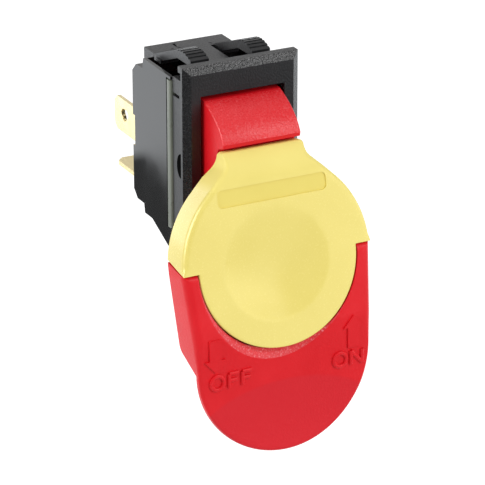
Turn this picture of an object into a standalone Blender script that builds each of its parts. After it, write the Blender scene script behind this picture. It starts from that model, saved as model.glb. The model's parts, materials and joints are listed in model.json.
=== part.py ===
"""Snap-in paddle rocker switch with a pull-out lock key.

Frame: metres, +Z up. The plane Y = 0 is the front face of the panel that the bezel sits on, the operator
looks along +Y, and the origin is the centre of the panel opening. The rocker is modelled with its paddle
pulled out, which is the ON position. Turning it about +X by THROW pushes the paddle in, to OFF.
"""

import math

import bmesh
import bpy
from mathutils import Matrix, Vector

MM = 0.001

# Clearance between pieces that touch or slide
FIT = 0.3 * MM

# Opening through the bezel, and the walls built outwards from it
OPENING_WIDTH = 16.1 * MM
OPENING_HEIGHT = 26.5 * MM
COLLAR_END_WALL = 1.65 * MM
COLLAR_DEPTH = 5.0 * MM
COLLAR_INSET = 0.3 * MM
FLANGE_SIDE_LIP = 1.4 * MM
FLANGE_END_LIP = 3.4 * MM
FLANGE_EDGE = 1.6 * MM
FLANGE_BEVEL_DEPTH = 0.95 * MM
FLANGE_BEVEL_INSET = 1.3 * MM

# Straps that reach back over the base and hook behind its shoulders
STRAP_WIDTH = 15.3 * MM
STRAP_TONGUE_WIDTH = 6.2 * MM
STRAP_RISE = 0.2 * MM
STRAP_WALL = 1.2 * MM
HOOK_REACH = 0.9 * MM
SLIT_WIDTH = 0.6 * MM
SLIT_LENGTH = 3.4 * MM

# Snap-in fingers, two on each strap
FINGER_WIDTH = 3.5 * MM
FINGER_RISE = 3.5 * MM
FINGER_WALL = 1.2 * MM
FINGER_ROOT = 2.6 * MM
FINGER_RIDGE_Y = 7.5 * MM
FINGER_TIP_Y = 2.1 * MM
FINGER_STEPS = 4
FINGER_STEP_DROP = 0.22 * MM

# Rocker, its pivot and its throw
PIVOT_Y = 4.0 * MM
THROW = math.radians(18.0)
ROCKER_SIDE_GAP = 0.65 * MM
ROCKER_END_GAP = 0.35 * MM
ROCKER_BACK_Y = 1.4 * MM
ROCKER_BOTTOM_END = math.radians(29.0)
ROCKER_TOP_END = math.radians(11.0)
CROWN_BACK_Y = -2.5 * MM
CROWN_BACK_DROP = 0.95 * MM
CROWN_FULLNESS_Y = 1.55 * MM
CROWN_FULLNESS_Z = 3.45 * MM
LIP_THICKNESS = 0.95 * MM
LIP_FRONT = 1.8 * MM
LIP_UNDERCUT = 1.1 * MM
TRUNNION_RADIUS = 1.5 * MM
EAR_GAP = 0.35 * MM
EAR_WALL = 1.05 * MM
EAR_HALF_HEIGHT = 3.4 * MM
EAR_PAST_PIVOT = 3.2 * MM

# Paddle: its face frame, outline and depth
PADDLE_TILT = math.radians(12.0)
PADDLE_CENTRE_Y = -16.0 * MM
PADDLE_CENTRE_DROP = 26.7 * MM
PADDLE_HALF_WIDTH = 18.0 * MM
PADDLE_END_RADIUS = 16.6 * MM
PADDLE_END_CENTRE = 17.5 * MM
PADDLE_SKIRT_TOP = 6.0 * MM
PADDLE_SKIRT_LOW = 6.9 * MM
PADDLE_SKIRT_END = 13.6 * MM
PADDLE_SKIRT_RUN = 3.9 * MM
PADDLE_SKIRT_WALL = 1.8 * MM
PADDLE_FLOOR = 1.8 * MM
LIP_BEND_START = 12.0 * MM
LIP_SETBACK = 2.7 * MM
LIP_PLATE = 1.1 * MM
STEP_HEIGHT = 0.2 * MM
STEP_RISE = 0.35
BACKING_DROP = 1.4 * MM
BACKING_BEHIND = 1.2 * MM

# Lock key
KEY_DISC_RADIUS = 14.85 * MM
KEY_PLATE = 2.6 * MM
KEY_DEPTH = 6.3 * MM
KEY_WALL = 1.8 * MM
SHOULDER_ANGLE = math.radians(46.0)
NECK_HALF_WIDTH = 7.7 * MM
NECK_FILLET = 3.0 * MM
NECK_TOP = 19.75 * MM
NECK_BEND_START = 14.0 * MM
NECK_SETBACK = 3.0 * MM
NECK_TIP = 0.9 * MM
NECK_HEEL = 1.0 * MM
DISH_RADIUS = 9.6 * MM
DISH_DEPTH = 0.8 * MM
PANEL_HALF_WIDTH = 10.4 * MM
PANEL_HEIGHT = 3.2 * MM
PANEL_ABOVE_DISH = 1.1 * MM
PANEL_DEPTH = 0.2 * MM
TONGUE_CENTRE = 10.5 * MM
TONGUE_HALF_WIDTH = 1.6 * MM
TONGUE_TIP_HALF = 1.0 * MM
TONGUE_PAST_BOLT = 0.9 * MM
TONGUE_TAPER = 0.1

# Lock bolt and its spring, in the paddle
BOLT_HALF_WIDTH = 2.6 * MM
BOLT_FRONT_DEPTH = 10.4 * MM
BOLT_THICKNESS = 1.6 * MM
BOLT_NOSE = 5.6 * MM
BOLT_TOP = 14.0 * MM
BOLT_TRAVEL = 2.2 * MM
LOCK_SPRING_LENGTH = 4.2 * MM
LOCK_SPRING_RADIUS = 0.6 * MM
LOCK_SPRING_WIRE = 0.14 * MM
LOCK_SPRING_TURNS = 6

# Plungers and their springs, one for each pole
PLUNGER_RADIUS = 1.1 * MM
PLUNGER_LENGTH = 5.4 * MM
PLUNGER_BOSS_WALL = 0.8 * MM
PLUNGER_BOSS_REACH = 5.6 * MM
PLUNGER_SPRING_LENGTH = 5.6 * MM
PLUNGER_SPRING_RADIUS = 0.9 * MM
PLUNGER_SPRING_WIRE = 0.18 * MM
PLUNGER_SPRING_TURNS = 6

# See-saw contact arms
ARM_REACH = 8.6 * MM
ARM_WIDTH = 3.6 * MM
ARM_THICKNESS = 0.8 * MM
ARM_UPPER_LENGTH = 8.0 * MM
ARM_END_MARGIN = 1.8 * MM
ARM_SWING_PER_THROW = 0.9
ARM_LUG_HALF = 0.6 * MM

# Contact rivets
CONTACT_RADIUS = 1.5 * MM
CONTACT_HEAD = 0.5 * MM
CONTACT_SHANK_RADIUS = 0.6 * MM
CONTACT_TAIL_RADIUS = 1.1 * MM
CONTACT_TAIL = 0.4 * MM
CONTACT_ABOVE_ROW = 1.8 * MM

# Terminals
TAB_WIDTH = 6.3 * MM
TAB_THICKNESS = 0.8 * MM
TAB_REACH = 10.4 * MM
TAB_CHAMFER = 1.1 * MM
TAB_HOLE_RADIUS = 0.85 * MM
TAB_HOLE_FROM_TIP = 4.2 * MM
CRADLE_HALF_HEIGHT = 2.2 * MM
CRADLE_EAR_AHEAD = 1.2 * MM
CRADLE_FLOOR_BEHIND = 3.8 * MM
CRADLE_NOTCH_HALF = 1.0 * MM

# Base
BASE_SIDE_WALL = 0.8 * MM
BASE_SIDE_GAP = 0.4 * MM
BASE_END_WALL = 1.2 * MM
BASE_FLOOR = 2.0 * MM
BASE_FLOOR_GAP = 2.3 * MM
BASE_SHOULDER_DEPTH = 11.2 * MM
BASE_SIDE_DROP = 0.4 * MM
BASE_LOWER_DROP = 0.7 * MM
BASE_CORNER = 1.5 * MM
BASE_EAR_DROP = 2.8 * MM
BASE_EAR_FLAT = 1.5 * MM
BASE_EAR_SLOPE = 6.4 * MM
BASE_NOTCH_DEPTH = 0.8 * MM
BASE_ROW_MARGIN = 1.3 * MM
BARRIER_WALL = 1.0 * MM
BARRIER_GAP = 1.7 * MM
BARRIER_BEHIND_PIVOT = 6.5 * MM

# Facets of round forms
ROUND_SEGMENTS = 20
ARC_STEPS = 14
DISH_RINGS = 5

# Stations across the width
OPENING_X = OPENING_WIDTH / 2
ROCKER_X = OPENING_X - ROCKER_SIDE_GAP
EAR_X0 = ROCKER_X + EAR_GAP
EAR_X1 = EAR_X0 + EAR_WALL
BASE_INNER_X = EAR_X1 + BASE_SIDE_GAP
BASE_X = BASE_INNER_X + BASE_SIDE_WALL
COLLAR_X = BASE_X - COLLAR_INSET
FLANGE_X = COLLAR_X + FLANGE_SIDE_LIP
TAB_X1 = BASE_INNER_X - BASE_SIDE_GAP
TAB_X0 = TAB_X1 - TAB_THICKNESS
CRADLE_X0 = BARRIER_WALL / 2 + BARRIER_GAP
CRADLE_X1 = CRADLE_X0 + TAB_THICKNESS
POLE_X = (CRADLE_X1 + TAB_X0) / 2

# Stations along the height
OPENING_Z = OPENING_HEIGHT / 2
COLLAR_Z = OPENING_Z + COLLAR_END_WALL
STRAP_Z1 = COLLAR_Z + STRAP_RISE
STRAP_Z0 = STRAP_Z1 - STRAP_WALL
FLANGE_Z = STRAP_Z1 + FLANGE_END_LIP
HOOK_Z0 = STRAP_Z0 - HOOK_REACH
BASE_END_Z = STRAP_Z0 - FIT
BASE_REAR_Z = HOOK_Z0 - FIT
BASE_INNER_Z = BASE_REAR_Z - BASE_END_WALL
BASE_SIDE_Z = STRAP_Z1 - BASE_SIDE_DROP
BASE_LOWER_Z = STRAP_Z1 - BASE_LOWER_DROP
END_ROW_Z = -(BASE_INNER_Z - BASE_ROW_MARGIN - TAB_THICKNESS / 2)
CONTACT_Z = END_ROW_Z + CONTACT_ABOVE_ROW

# Stations along the depth
BEZEL_FRONT_Y = -(FLANGE_EDGE + FLANGE_BEVEL_DEPTH)
BASE_FRONT_Y = COLLAR_DEPTH + FIT
SHOULDER_Y = BASE_FRONT_Y + BASE_SHOULDER_DEPTH
HOOK_FRONT_Y = SHOULDER_Y + FIT
ARM_Y = PIVOT_Y + ARM_REACH
ARM_FRONT_Y = ARM_Y - ARM_THICKNESS / 2
ARM_BACK_Y = ARM_Y + ARM_THICKNESS / 2
MOVING_HEAD_Y = ARM_BACK_Y + FIT
FIXED_HEAD_Y = MOVING_HEAD_Y + CONTACT_HEAD + FIT
PAD_Y0 = FIXED_HEAD_Y + CONTACT_HEAD + FIT
PAD_Y1 = PAD_Y0 + TAB_THICKNESS
FLOOR_Y = PAD_Y1 + FIT + CONTACT_TAIL + BASE_FLOOR_GAP
BASE_BACK_Y = FLOOR_Y + BASE_FLOOR
TAB_TIP_Y = BASE_BACK_Y + TAB_REACH
ARM_SWING = THROW * ARM_SWING_PER_THROW

# Paddle face frame: x across, y up the face, z out of the face
PADDLE_CENTRE = Vector((0.0, PADDLE_CENTRE_Y, OPENING_Z - PADDLE_CENTRE_DROP))
PADDLE_FRAME = Matrix.Translation(PADDLE_CENTRE) @ Matrix.Rotation(math.pi / 2 - PADDLE_TILT, 4, "X")
PIVOT = Vector((0.0, PIVOT_Y, 0.0))
ARM_PIVOT = Vector((0.0, ARM_Y, 0.0))

# Plunger frame: z runs from the pivot along the plunger, towards the contact arm
PLUNGER_FRAME = Matrix.Translation(PIVOT) @ Matrix.Rotation(-math.pi / 2 - THROW / 2, 4, "X")
PLUNGER_TIP = (ARM_FRONT_Y - FIT - PIVOT_Y) / math.cos(THROW / 2)
PLUNGER_BORE = PLUNGER_RADIUS + FIT

# Depths and heights on the paddle's face
RECESS_RADIUS = KEY_DISC_RADIUS + FIT
RECESS_FLOOR = KEY_PLATE + FIT
BACKING_RADIUS = PADDLE_HALF_WIDTH - KEY_WALL - FIT
BACKING_TOP = BACKING_RADIUS - BACKING_DROP
BOLT_BACK_DEPTH = BOLT_FRONT_DEPTH + BOLT_THICKNESS
TONGUE_TIP_DEPTH = BOLT_BACK_DEPTH + TONGUE_PAST_BOLT
SPRING_CEILING = BOLT_TOP + FIT + LOCK_SPRING_LENGTH + FIT
SIDES = {"left": -1, "right": 1}


def clear_scene():
    """Remove every object, so that the file holds this part alone."""
    for old in list(bpy.data.objects):
        bpy.data.objects.remove(old, do_unlink=True)


def material(name, colour, roughness, metallic=0.0):
    """A plain Principled material with the piece's own colour."""
    made = bpy.data.materials.new(name)
    made.use_nodes = True
    shader = made.node_tree.nodes["Principled BSDF"]
    shader.inputs["Base Color"].default_value = (*colour, 1.0)
    shader.inputs["Roughness"].default_value = roughness
    shader.inputs["Metallic"].default_value = metallic
    return made


def solid(name, bm, matrix=None):
    """Turn a bmesh into an object with its faces pointing out."""
    if matrix is not None:
        bm.transform(matrix)
    bmesh.ops.recalc_face_normals(bm, faces=bm.faces)
    mesh = bpy.data.meshes.new(name)
    bm.to_mesh(mesh)
    bm.free()
    made = bpy.data.objects.new(name, mesh)
    bpy.context.scene.collection.objects.link(made)
    return made


def loft(name, loops, matrix=None):
    """A closed body through loops of equal length, capped at both ends."""
    bm = bmesh.new()
    rings = [[bm.verts.new(point) for point in loop] for loop in loops]
    bm.faces.new(rings[0])
    bm.faces.new(rings[-1])
    for low, high in zip(rings, rings[1:]):
        for index in range(len(low)):
            after = (index + 1) % len(low)
            bm.faces.new((low[index], low[after], high[after], high[index]))
    return solid(name, bm, matrix)


def prism(name, outline, axis, low, high, matrix=None):
    """Extrude an outline along an axis, the outline's two numbers being the other two axes in order."""
    places = {
        "X": lambda point, along: (along, point[0], point[1]),
        "Y": lambda point, along: (point[0], along, point[1]),
        "Z": lambda point, along: (point[0], point[1], along),
    }
    place = places[axis]
    loops = [[place(point, along) for point in outline] for along in (low, high)]
    return loft(name, loops, matrix)


def box(name, low, high, matrix=None):
    """A box between two corners."""
    outline = [(low[0], low[1]), (high[0], low[1]), (high[0], high[1]), (low[0], high[1])]
    return prism(name, outline, "Z", low[2], high[2], matrix)


def turned(name, profile, matrix, segments=ROUND_SEGMENTS):
    """Turn a profile of (radius, height) points, from the first cap to the last, about the frame's z axis."""
    loops = []
    for radius, height in profile:
        angles = [2 * math.pi * step / segments for step in range(segments)]
        loops.append([(radius * math.cos(a), radius * math.sin(a), height) for a in angles])
    return loft(name, loops, matrix)


def boolean(target, tool, operation):
    """Combine two bodies and keep the result in the first."""
    modifier = target.modifiers.new("combine", "BOOLEAN")
    modifier.operation = operation
    modifier.solver = "EXACT"
    modifier.object = tool
    graph = bpy.context.evaluated_depsgraph_get()
    mesh = bpy.data.meshes.new_from_object(target.evaluated_get(graph))
    target.modifiers.clear()
    target.data = mesh
    bpy.data.objects.remove(tool, do_unlink=True)


def cut(target, *tools):
    for tool in tools:
        boolean(target, tool, "DIFFERENCE")


def fuse(target, *tools):
    for tool in tools:
        boolean(target, tool, "UNION")


def finish(made, finish_material, origin=None, smooth=None):
    """Give the piece its material, put its origin on its joint and shade its round faces smooth."""
    made.data.materials.clear()
    made.data.materials.append(finish_material)
    if origin is not None:
        made.data.transform(Matrix.Translation(-origin))
        made.location = origin
    if smooth is not None:
        made.data.shade_smooth()
        made.data.set_sharp_from_angle(angle=smooth)
    return made


def arc(centre, radius, start, end, steps=ARC_STEPS):
    """Points on an arc, both ends included, with angles in radians."""
    points = []
    for step in range(steps + 1):
        angle = start + (end - start) * step / steps
        points.append((centre[0] + radius * math.cos(angle), centre[1] + radius * math.sin(angle)))
    return points


def bezier(start, control, end, steps):
    """Points on a quadratic curve, without its last point."""
    points = []
    for step in range(steps):
        t = step / steps
        weights = ((1 - t) ** 2, 2 * t * (1 - t), t * t)
        points.append(tuple(
            weights[0] * start[i] + weights[1] * control[i] + weights[2] * end[i] for i in range(2)))
    return points


def face_point(up, out):
    """The (y, z) of a point on the middle of the paddle, from its height up the face and out of it."""
    point = PADDLE_FRAME @ Vector((0.0, up, out))
    return (point.y, point.z)


def pivot_point(radius, angle):
    """The (y, z) of a point below the pivot, with the angle counted from -Z towards the operator."""
    return (PIVOT_Y - radius * math.sin(angle), -radius * math.cos(angle))


def finger_outline():
    """The (y, z) outline of a snap-in finger: a ramp, a ridge and steps down towards the flange."""
    ridge_z = STRAP_Z1 + FINGER_RISE
    run = (FINGER_RIDGE_Y - FINGER_TIP_Y) / FINGER_STEPS
    root_y = SHOULDER_Y - FINGER_ROOT
    outline = [(SHOULDER_Y, STRAP_Z1 - STRAP_WALL / 2), (SHOULDER_Y, STRAP_Z1), (FINGER_RIDGE_Y, ridge_z)]
    for step in range(FINGER_STEPS):
        low_z = ridge_z - FINGER_STEP_DROP * (step + 1)
        outline.append((FINGER_RIDGE_Y - run * (step + 0.35), low_z))
        outline.append((FINGER_RIDGE_Y - run * (step + 1), low_z))
    tip_z = ridge_z - FINGER_STEP_DROP * FINGER_STEPS
    outline.append((FINGER_TIP_Y, tip_z - FINGER_WALL / 2))
    outline.append((FINGER_RIDGE_Y, ridge_z - FINGER_WALL * 1.3))
    outline.append((root_y, STRAP_Z1 - STRAP_WALL / 2))
    return outline


def flip(outline):
    """Mirror a (y, z) outline top to bottom."""
    return [(y, -z) for y, z in outline]


def make_frame(finish_material):
    """Bezel, collar, straps, hooks, fingers and the ears that carry the rocker's trunnions."""
    def rim(x, z, y):
        return [(-x, y, -z), (x, y, -z), (x, y, z), (-x, y, z)]

    bevel_x = FLANGE_X - FLANGE_BEVEL_INSET
    bevel_z = FLANGE_Z - FLANGE_BEVEL_INSET
    frame = loft("bezel_frame", [
        rim(FLANGE_X, FLANGE_Z, 0.0),
        rim(FLANGE_X, FLANGE_Z, -FLANGE_EDGE),
        rim(bevel_x, bevel_z, BEZEL_FRONT_Y),
    ])
    overlap = FLANGE_EDGE / 2
    fuse(frame, box("collar", (-COLLAR_X, -overlap, -COLLAR_Z), (COLLAR_X, COLLAR_DEPTH, COLLAR_Z)))
    cut(frame, box("opening", (-OPENING_X, 2 * BEZEL_FRONT_Y, -OPENING_Z),
                   (OPENING_X, 2 * COLLAR_DEPTH, OPENING_Z)))

    tongue_x = STRAP_TONGUE_WIDTH / 2
    strap_x = STRAP_WIDTH / 2
    strap_end = BASE_BACK_Y
    for side in (1, -1):
        def span(low, high):
            return (low, high) if side > 0 else (-high, -low)

        z0, z1 = span(STRAP_Z0, STRAP_Z1)
        strap = box("strap", (-tongue_x, COLLAR_DEPTH / 2, z0), (tongue_x, HOOK_FRONT_Y + FIT, z1))
        z0, z1 = span(HOOK_Z0, STRAP_Z1 - FIT / 10)
        fuse(strap, box("hook", (-strap_x, HOOK_FRONT_Y, z0), (strap_x, strap_end, z1)))
        z0, z1 = span(STRAP_Z0 + FIT / 10, STRAP_Z1 - FIT / 5)
        fuse(strap, box("bridge", (-strap_x + FIT / 10, SHOULDER_Y - FINGER_ROOT, z0),
                        (strap_x - FIT / 10, HOOK_FRONT_Y + FIT, z1)))
        outline = finger_outline()
        if side < 0:
            outline = flip(outline)
        for hand in SIDES.values():
            x0, x1 = sorted((hand * (strap_x - FINGER_WIDTH), hand * (strap_x - FIT / 5)))
            fuse(strap, prism("finger", outline, "X", x0, x1))
            slit_x = hand * (tongue_x + SLIT_WIDTH)
            z0, z1 = span(HOOK_Z0 - FIT, STRAP_Z1 + FIT)
            cut(strap, box("slit", (slit_x - SLIT_WIDTH / 2, strap_end - SLIT_LENGTH, z0),
                           (slit_x + SLIT_WIDTH / 2, strap_end + FIT, z1)))
        fuse(frame, strap)

    for hand in SIDES.values():
        x0, x1 = sorted((hand * EAR_X0, hand * EAR_X1))
        ear = box("ear", (x0, overlap, -EAR_HALF_HEIGHT), (x1, PIVOT_Y + EAR_PAST_PIVOT, EAR_HALF_HEIGHT))
        fuse(frame, ear)
        turn = Matrix.Translation(PIVOT) @ Matrix.Rotation(hand * math.pi / 2, 4, "Y")
        hole = [(TRUNNION_RADIUS + FIT, EAR_X0 - FIT), (TRUNNION_RADIUS + FIT, EAR_X1)]
        cut(frame, turned("trunnion hole", hole, turn))

    nose_y = [swing_in(face_point(BOLT_NOSE - BOLT_TRAVEL, -depth))[0]
              for depth in (BOLT_FRONT_DEPTH, BOLT_BACK_DEPTH)]
    nose_z = min(swing_in(face_point(BOLT_NOSE - BOLT_TRAVEL, -depth))[1]
                 for depth in (BOLT_FRONT_DEPTH, BOLT_BACK_DEPTH))
    cut(frame, box("lock slot", (-BOLT_HALF_WIDTH - FIT, min(nose_y) - 2 * FIT, nose_z - 2 * FIT),
                   (BOLT_HALF_WIDTH + FIT, max(nose_y) + 2 * FIT, 0.0)))
    return finish(frame, finish_material)


def swing_in(point):
    """Where a (y, z) point of the rocker lies once the paddle is pushed in."""
    y = point[0] - PIVOT_Y
    z = point[1]
    return (PIVOT_Y + y * math.cos(THROW) - z * math.sin(THROW), y * math.sin(THROW) + z * math.cos(THROW))


def make_base(finish_material):
    """Rear housing: side walls, end walls, floor, the wall between the poles and the terminals' slots."""
    side_outline = [
        (BASE_FRONT_Y, BASE_SIDE_Z),
        (SHOULDER_Y - FIT, BASE_SIDE_Z),
        (SHOULDER_Y, BASE_REAR_Z),
        (BASE_BACK_Y - BASE_CORNER, BASE_REAR_Z),
        (BASE_BACK_Y, BASE_REAR_Z - BASE_CORNER),
        (BASE_BACK_Y, -BASE_REAR_Z + BASE_CORNER),
        (BASE_BACK_Y - BASE_CORNER, -BASE_REAR_Z),
        (SHOULDER_Y, -BASE_REAR_Z),
        (SHOULDER_Y - FIT, -BASE_LOWER_Z),
        (BASE_FRONT_Y + BASE_EAR_FLAT + BASE_EAR_SLOPE, -BASE_LOWER_Z),
        (BASE_FRONT_Y + BASE_EAR_FLAT, -BASE_LOWER_Z - BASE_EAR_DROP),
        (BASE_FRONT_Y, -BASE_LOWER_Z - BASE_EAR_DROP),
    ]
    base = prism("switch_base", side_outline, "X", -BASE_X, BASE_X)
    channel_x = STRAP_WIDTH / 2 + FIT
    beyond = BASE_SIDE_Z + BASE_EAR_DROP + FIT
    cut(base,
        box("top channel", (-channel_x, 0.0, BASE_END_Z), (channel_x, SHOULDER_Y + FIT, beyond)),
        box("bottom channel", (-channel_x, 0.0, -beyond), (channel_x, SHOULDER_Y + FIT, -BASE_END_Z)),
        box("cavity", (-BASE_INNER_X, 0.0, -BASE_INNER_Z), (BASE_INNER_X, FLOOR_Y, BASE_INNER_Z)))
    fuse(base, box("barrier", (-BARRIER_WALL / 2, PIVOT_Y + BARRIER_BEHIND_PIVOT, -BASE_INNER_Z - FIT),
                   (BARRIER_WALL / 2, FLOOR_Y + FIT, BASE_INNER_Z + FIT)))
    through = BASE_BACK_Y + FIT
    for hand in SIDES.values():
        x0, x1 = sorted((hand * (TAB_X0 - FIT), hand * (TAB_X1 + FIT)))
        half = TAB_WIDTH / 2 + FIT
        cut(base, box("centre slot", (x0, FLOOR_Y - FIT, -half), (x1, through, half)))
        x0, x1 = sorted((hand * (POLE_X - half), hand * (POLE_X + half)))
        thick = TAB_THICKNESS / 2 + FIT
        cut(base, box("end slot", (x0, FLOOR_Y - FIT, END_ROW_Z - thick), (x1, through, END_ROW_Z + thick)))
        x0, x1 = sorted((hand * TAB_X1, hand * (BASE_X + FIT)))
        notch = TAB_WIDTH / 2 - FIT
        cut(base, box("edge notch", (x0, BASE_BACK_Y - BASE_NOTCH_DEPTH, -notch), (x1, through, notch)))
    return finish(base, finish_material)


def rocker_outline():
    """The (y, z) outline of the rocker, from its top end over the crown and down to its bottom end."""
    reach = OPENING_Z - ROCKER_END_GAP
    under_lip = NECK_TOP + FIT
    crown_back = (CROWN_BACK_Y, OPENING_Z - CROWN_BACK_DROP)
    lip = face_point(under_lip + LIP_THICKNESS, -LIP_FRONT)
    crown_control = (lip[0] + CROWN_FULLNESS_Y, lip[1] + CROWN_FULLNESS_Z)
    back = KEY_DEPTH + FIT
    heel = face_point(-PADDLE_FLOOR, -back)
    clear_y = BEZEL_FRONT_Y - FIT
    notch_angle = math.asin((PIVOT_Y - clear_y) / reach) + THROW
    notch = pivot_point(reach, notch_angle)
    notch_foot = (notch[0] - (notch[1] - heel[1]) * math.tan(THROW), heel[1])
    y_top, z_top = pivot_point(-reach, -ROCKER_TOP_END)
    outline = [(y_top, z_top)]
    outline += bezier(crown_back, crown_control, lip, ARC_STEPS // 2)
    outline += [lip, face_point(under_lip, -LIP_FRONT - LIP_UNDERCUT), face_point(under_lip, -back)]
    outline += [heel, notch_foot]
    sweep = [notch_angle + (ROCKER_BOTTOM_END - notch_angle) * step / 6 for step in range(7)]
    outline += [pivot_point(reach, angle) for angle in sweep]
    outline += [(ROCKER_BACK_Y, -reach / 2), (ROCKER_BACK_Y, reach / 2)]
    return outline


def paddle_outline():
    """The paddle's outline on its face: upright and tapered sides, and a round lower end."""
    end = arc((0.0, -PADDLE_END_CENTRE), PADDLE_END_RADIUS, 0.0, -math.pi, 2 * ARC_STEPS)
    top = step_height(-PADDLE_SKIRT_LOW) + FIT
    half = PADDLE_HALF_WIDTH
    return [(-half, 0.0), (-half, top), (half, top), (half, 0.0)] + end


def step_height(out):
    """Height of the step where the key's side wall meets the paddle's, which climbs towards the back."""
    return STEP_HEIGHT - STEP_RISE * out


def paddle_bend(down):
    """How far the paddle's face is set back at a distance down from the face frame's centre."""
    length = PADDLE_END_CENTRE + PADDLE_END_RADIUS
    if down <= LIP_BEND_START:
        return 0.0
    return LIP_SETBACK * math.sin(math.pi / 2 * (down - LIP_BEND_START) / (length - LIP_BEND_START))


def paddle_profile():
    """The paddle's side profile: its face, bent back at the lip, and the depth of its skirt."""
    length = PADDLE_END_CENTRE + PADDLE_END_RADIUS + FIT
    steps = ARC_STEPS // 2
    stations = [LIP_BEND_START + (length - LIP_BEND_START) * step / steps for step in range(steps + 1)]
    gap = FIT / 2
    front = [(step_height(0.0) - gap, 0.0)] + [(-down, -paddle_bend(down)) for down in stations]
    skirt_end = PADDLE_SKIRT_END + PADDLE_SKIRT_RUN
    lip_stations = [down for down in stations if down > skirt_end]
    back = [(-down, -paddle_bend(down) - LIP_PLATE) for down in reversed(lip_stations)]
    back.append((-skirt_end, -paddle_bend(skirt_end) - LIP_PLATE))
    back += [(-PADDLE_SKIRT_END, -PADDLE_SKIRT_LOW), (0.0, -PADDLE_SKIRT_TOP)]
    back.append((step_height(-PADDLE_SKIRT_TOP) - gap, -PADDLE_SKIRT_TOP))
    return front + back


def make_paddle(finish_material):
    """Rocker, paddle, trunnions and plunger bosses in one moulding, with the key's recess and lock channel."""
    far = PADDLE_SKIRT_LOW + FIT
    paddle = prism("paddle_rocker", paddle_profile(), "X", -PADDLE_HALF_WIDTH - FIT, PADDLE_HALF_WIDTH + FIT)
    boolean(paddle, prism("outline", paddle_outline(), "Z", -far, FIT), "INTERSECT")
    inner = PADDLE_HALF_WIDTH - PADDLE_SKIRT_WALL
    low = PADDLE_SKIRT_END - PADDLE_SKIRT_WALL
    inner_low = inner - (PADDLE_HALF_WIDTH - PADDLE_END_RADIUS) * low / PADDLE_END_CENTRE
    pocket = [(-inner, -PADDLE_SKIRT_WALL), (inner, -PADDLE_SKIRT_WALL), (inner_low, -low), (-inner_low, -low)]
    cut(paddle, prism("back pocket", pocket, "Z", -far - FIT, -RECESS_FLOOR - PADDLE_FLOOR))
    ring = arc((0.0, 0.0), RECESS_RADIUS, 0.0, 2 * math.pi, 4 * ARC_STEPS)[:-1]
    cut(paddle, prism("key recess", ring, "Z", -RECESS_FLOOR, FIT))

    top_angle = math.asin(BACKING_TOP / BACKING_RADIUS)
    low_angle = -math.asin(PADDLE_FLOOR / BACKING_RADIUS)
    backing = arc((0.0, 0.0), BACKING_RADIUS, low_angle, top_angle)
    backing += arc((0.0, 0.0), BACKING_RADIUS, math.pi - top_angle, math.pi - low_angle)
    fuse(paddle, prism("backing", backing, "Z", -KEY_DEPTH - BACKING_BEHIND, -RECESS_FLOOR))
    paddle.data.transform(PADDLE_FRAME)

    fuse(paddle, prism("rocker", rocker_outline(), "X", -ROCKER_X, ROCKER_X))
    spring_end = PLUNGER_TIP - PLUNGER_LENGTH - FIT - PLUNGER_SPRING_LENGTH - FIT
    boss_half = PLUNGER_BORE + PLUNGER_BOSS_WALL
    for hand in SIDES.values():
        x0, x1 = sorted((hand * (POLE_X - boss_half), hand * (ROCKER_X - FIT / 10)))
        fuse(paddle, box("boss", (x0, -boss_half, spring_end - PLUNGER_BOSS_WALL),
                         (x1, boss_half, PLUNGER_BOSS_REACH), PLUNGER_FRAME))
    for hand in SIDES.values():
        turn = Matrix.Translation(PIVOT) @ Matrix.Rotation(hand * math.pi / 2, 4, "Y")
        pin = [(TRUNNION_RADIUS, POLE_X), (TRUNNION_RADIUS, EAR_X1 - FIT)]
        fuse(paddle, turned("trunnion", pin, turn))
    for hand in SIDES.values():
        place = Matrix.Translation((hand * POLE_X, 0.0, 0.0)) @ PLUNGER_FRAME
        bore = [(PLUNGER_BORE, spring_end), (PLUNGER_BORE, PLUNGER_TIP)]
        cut(paddle, turned("plunger bore", bore, place))

    channel_x = BOLT_HALF_WIDTH + FIT
    cut(paddle, box("bolt channel", (-channel_x, 0.0, -BOLT_BACK_DEPTH - FIT),
                    (channel_x, SPRING_CEILING, -BOLT_FRONT_DEPTH + FIT), PADDLE_FRAME))
    slot_x = TONGUE_HALF_WIDTH + FIT
    cut(paddle, box("tongue slot", (-slot_x, TONGUE_CENTRE - TONGUE_TIP_HALF - FIT, -TONGUE_TIP_DEPTH - FIT),
                    (slot_x, tongue_top(-KEY_PLATE) + FIT, -RECESS_FLOOR + FIT), PADDLE_FRAME))
    return finish(paddle, finish_material, PIVOT, math.radians(25.0))


def tongue_top(out):
    """Height of the tongue's tapered upper face at a distance out of the paddle's face."""
    return TONGUE_CENTRE + TONGUE_TIP_HALF + TONGUE_TAPER * (out + TONGUE_TIP_DEPTH)


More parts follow.
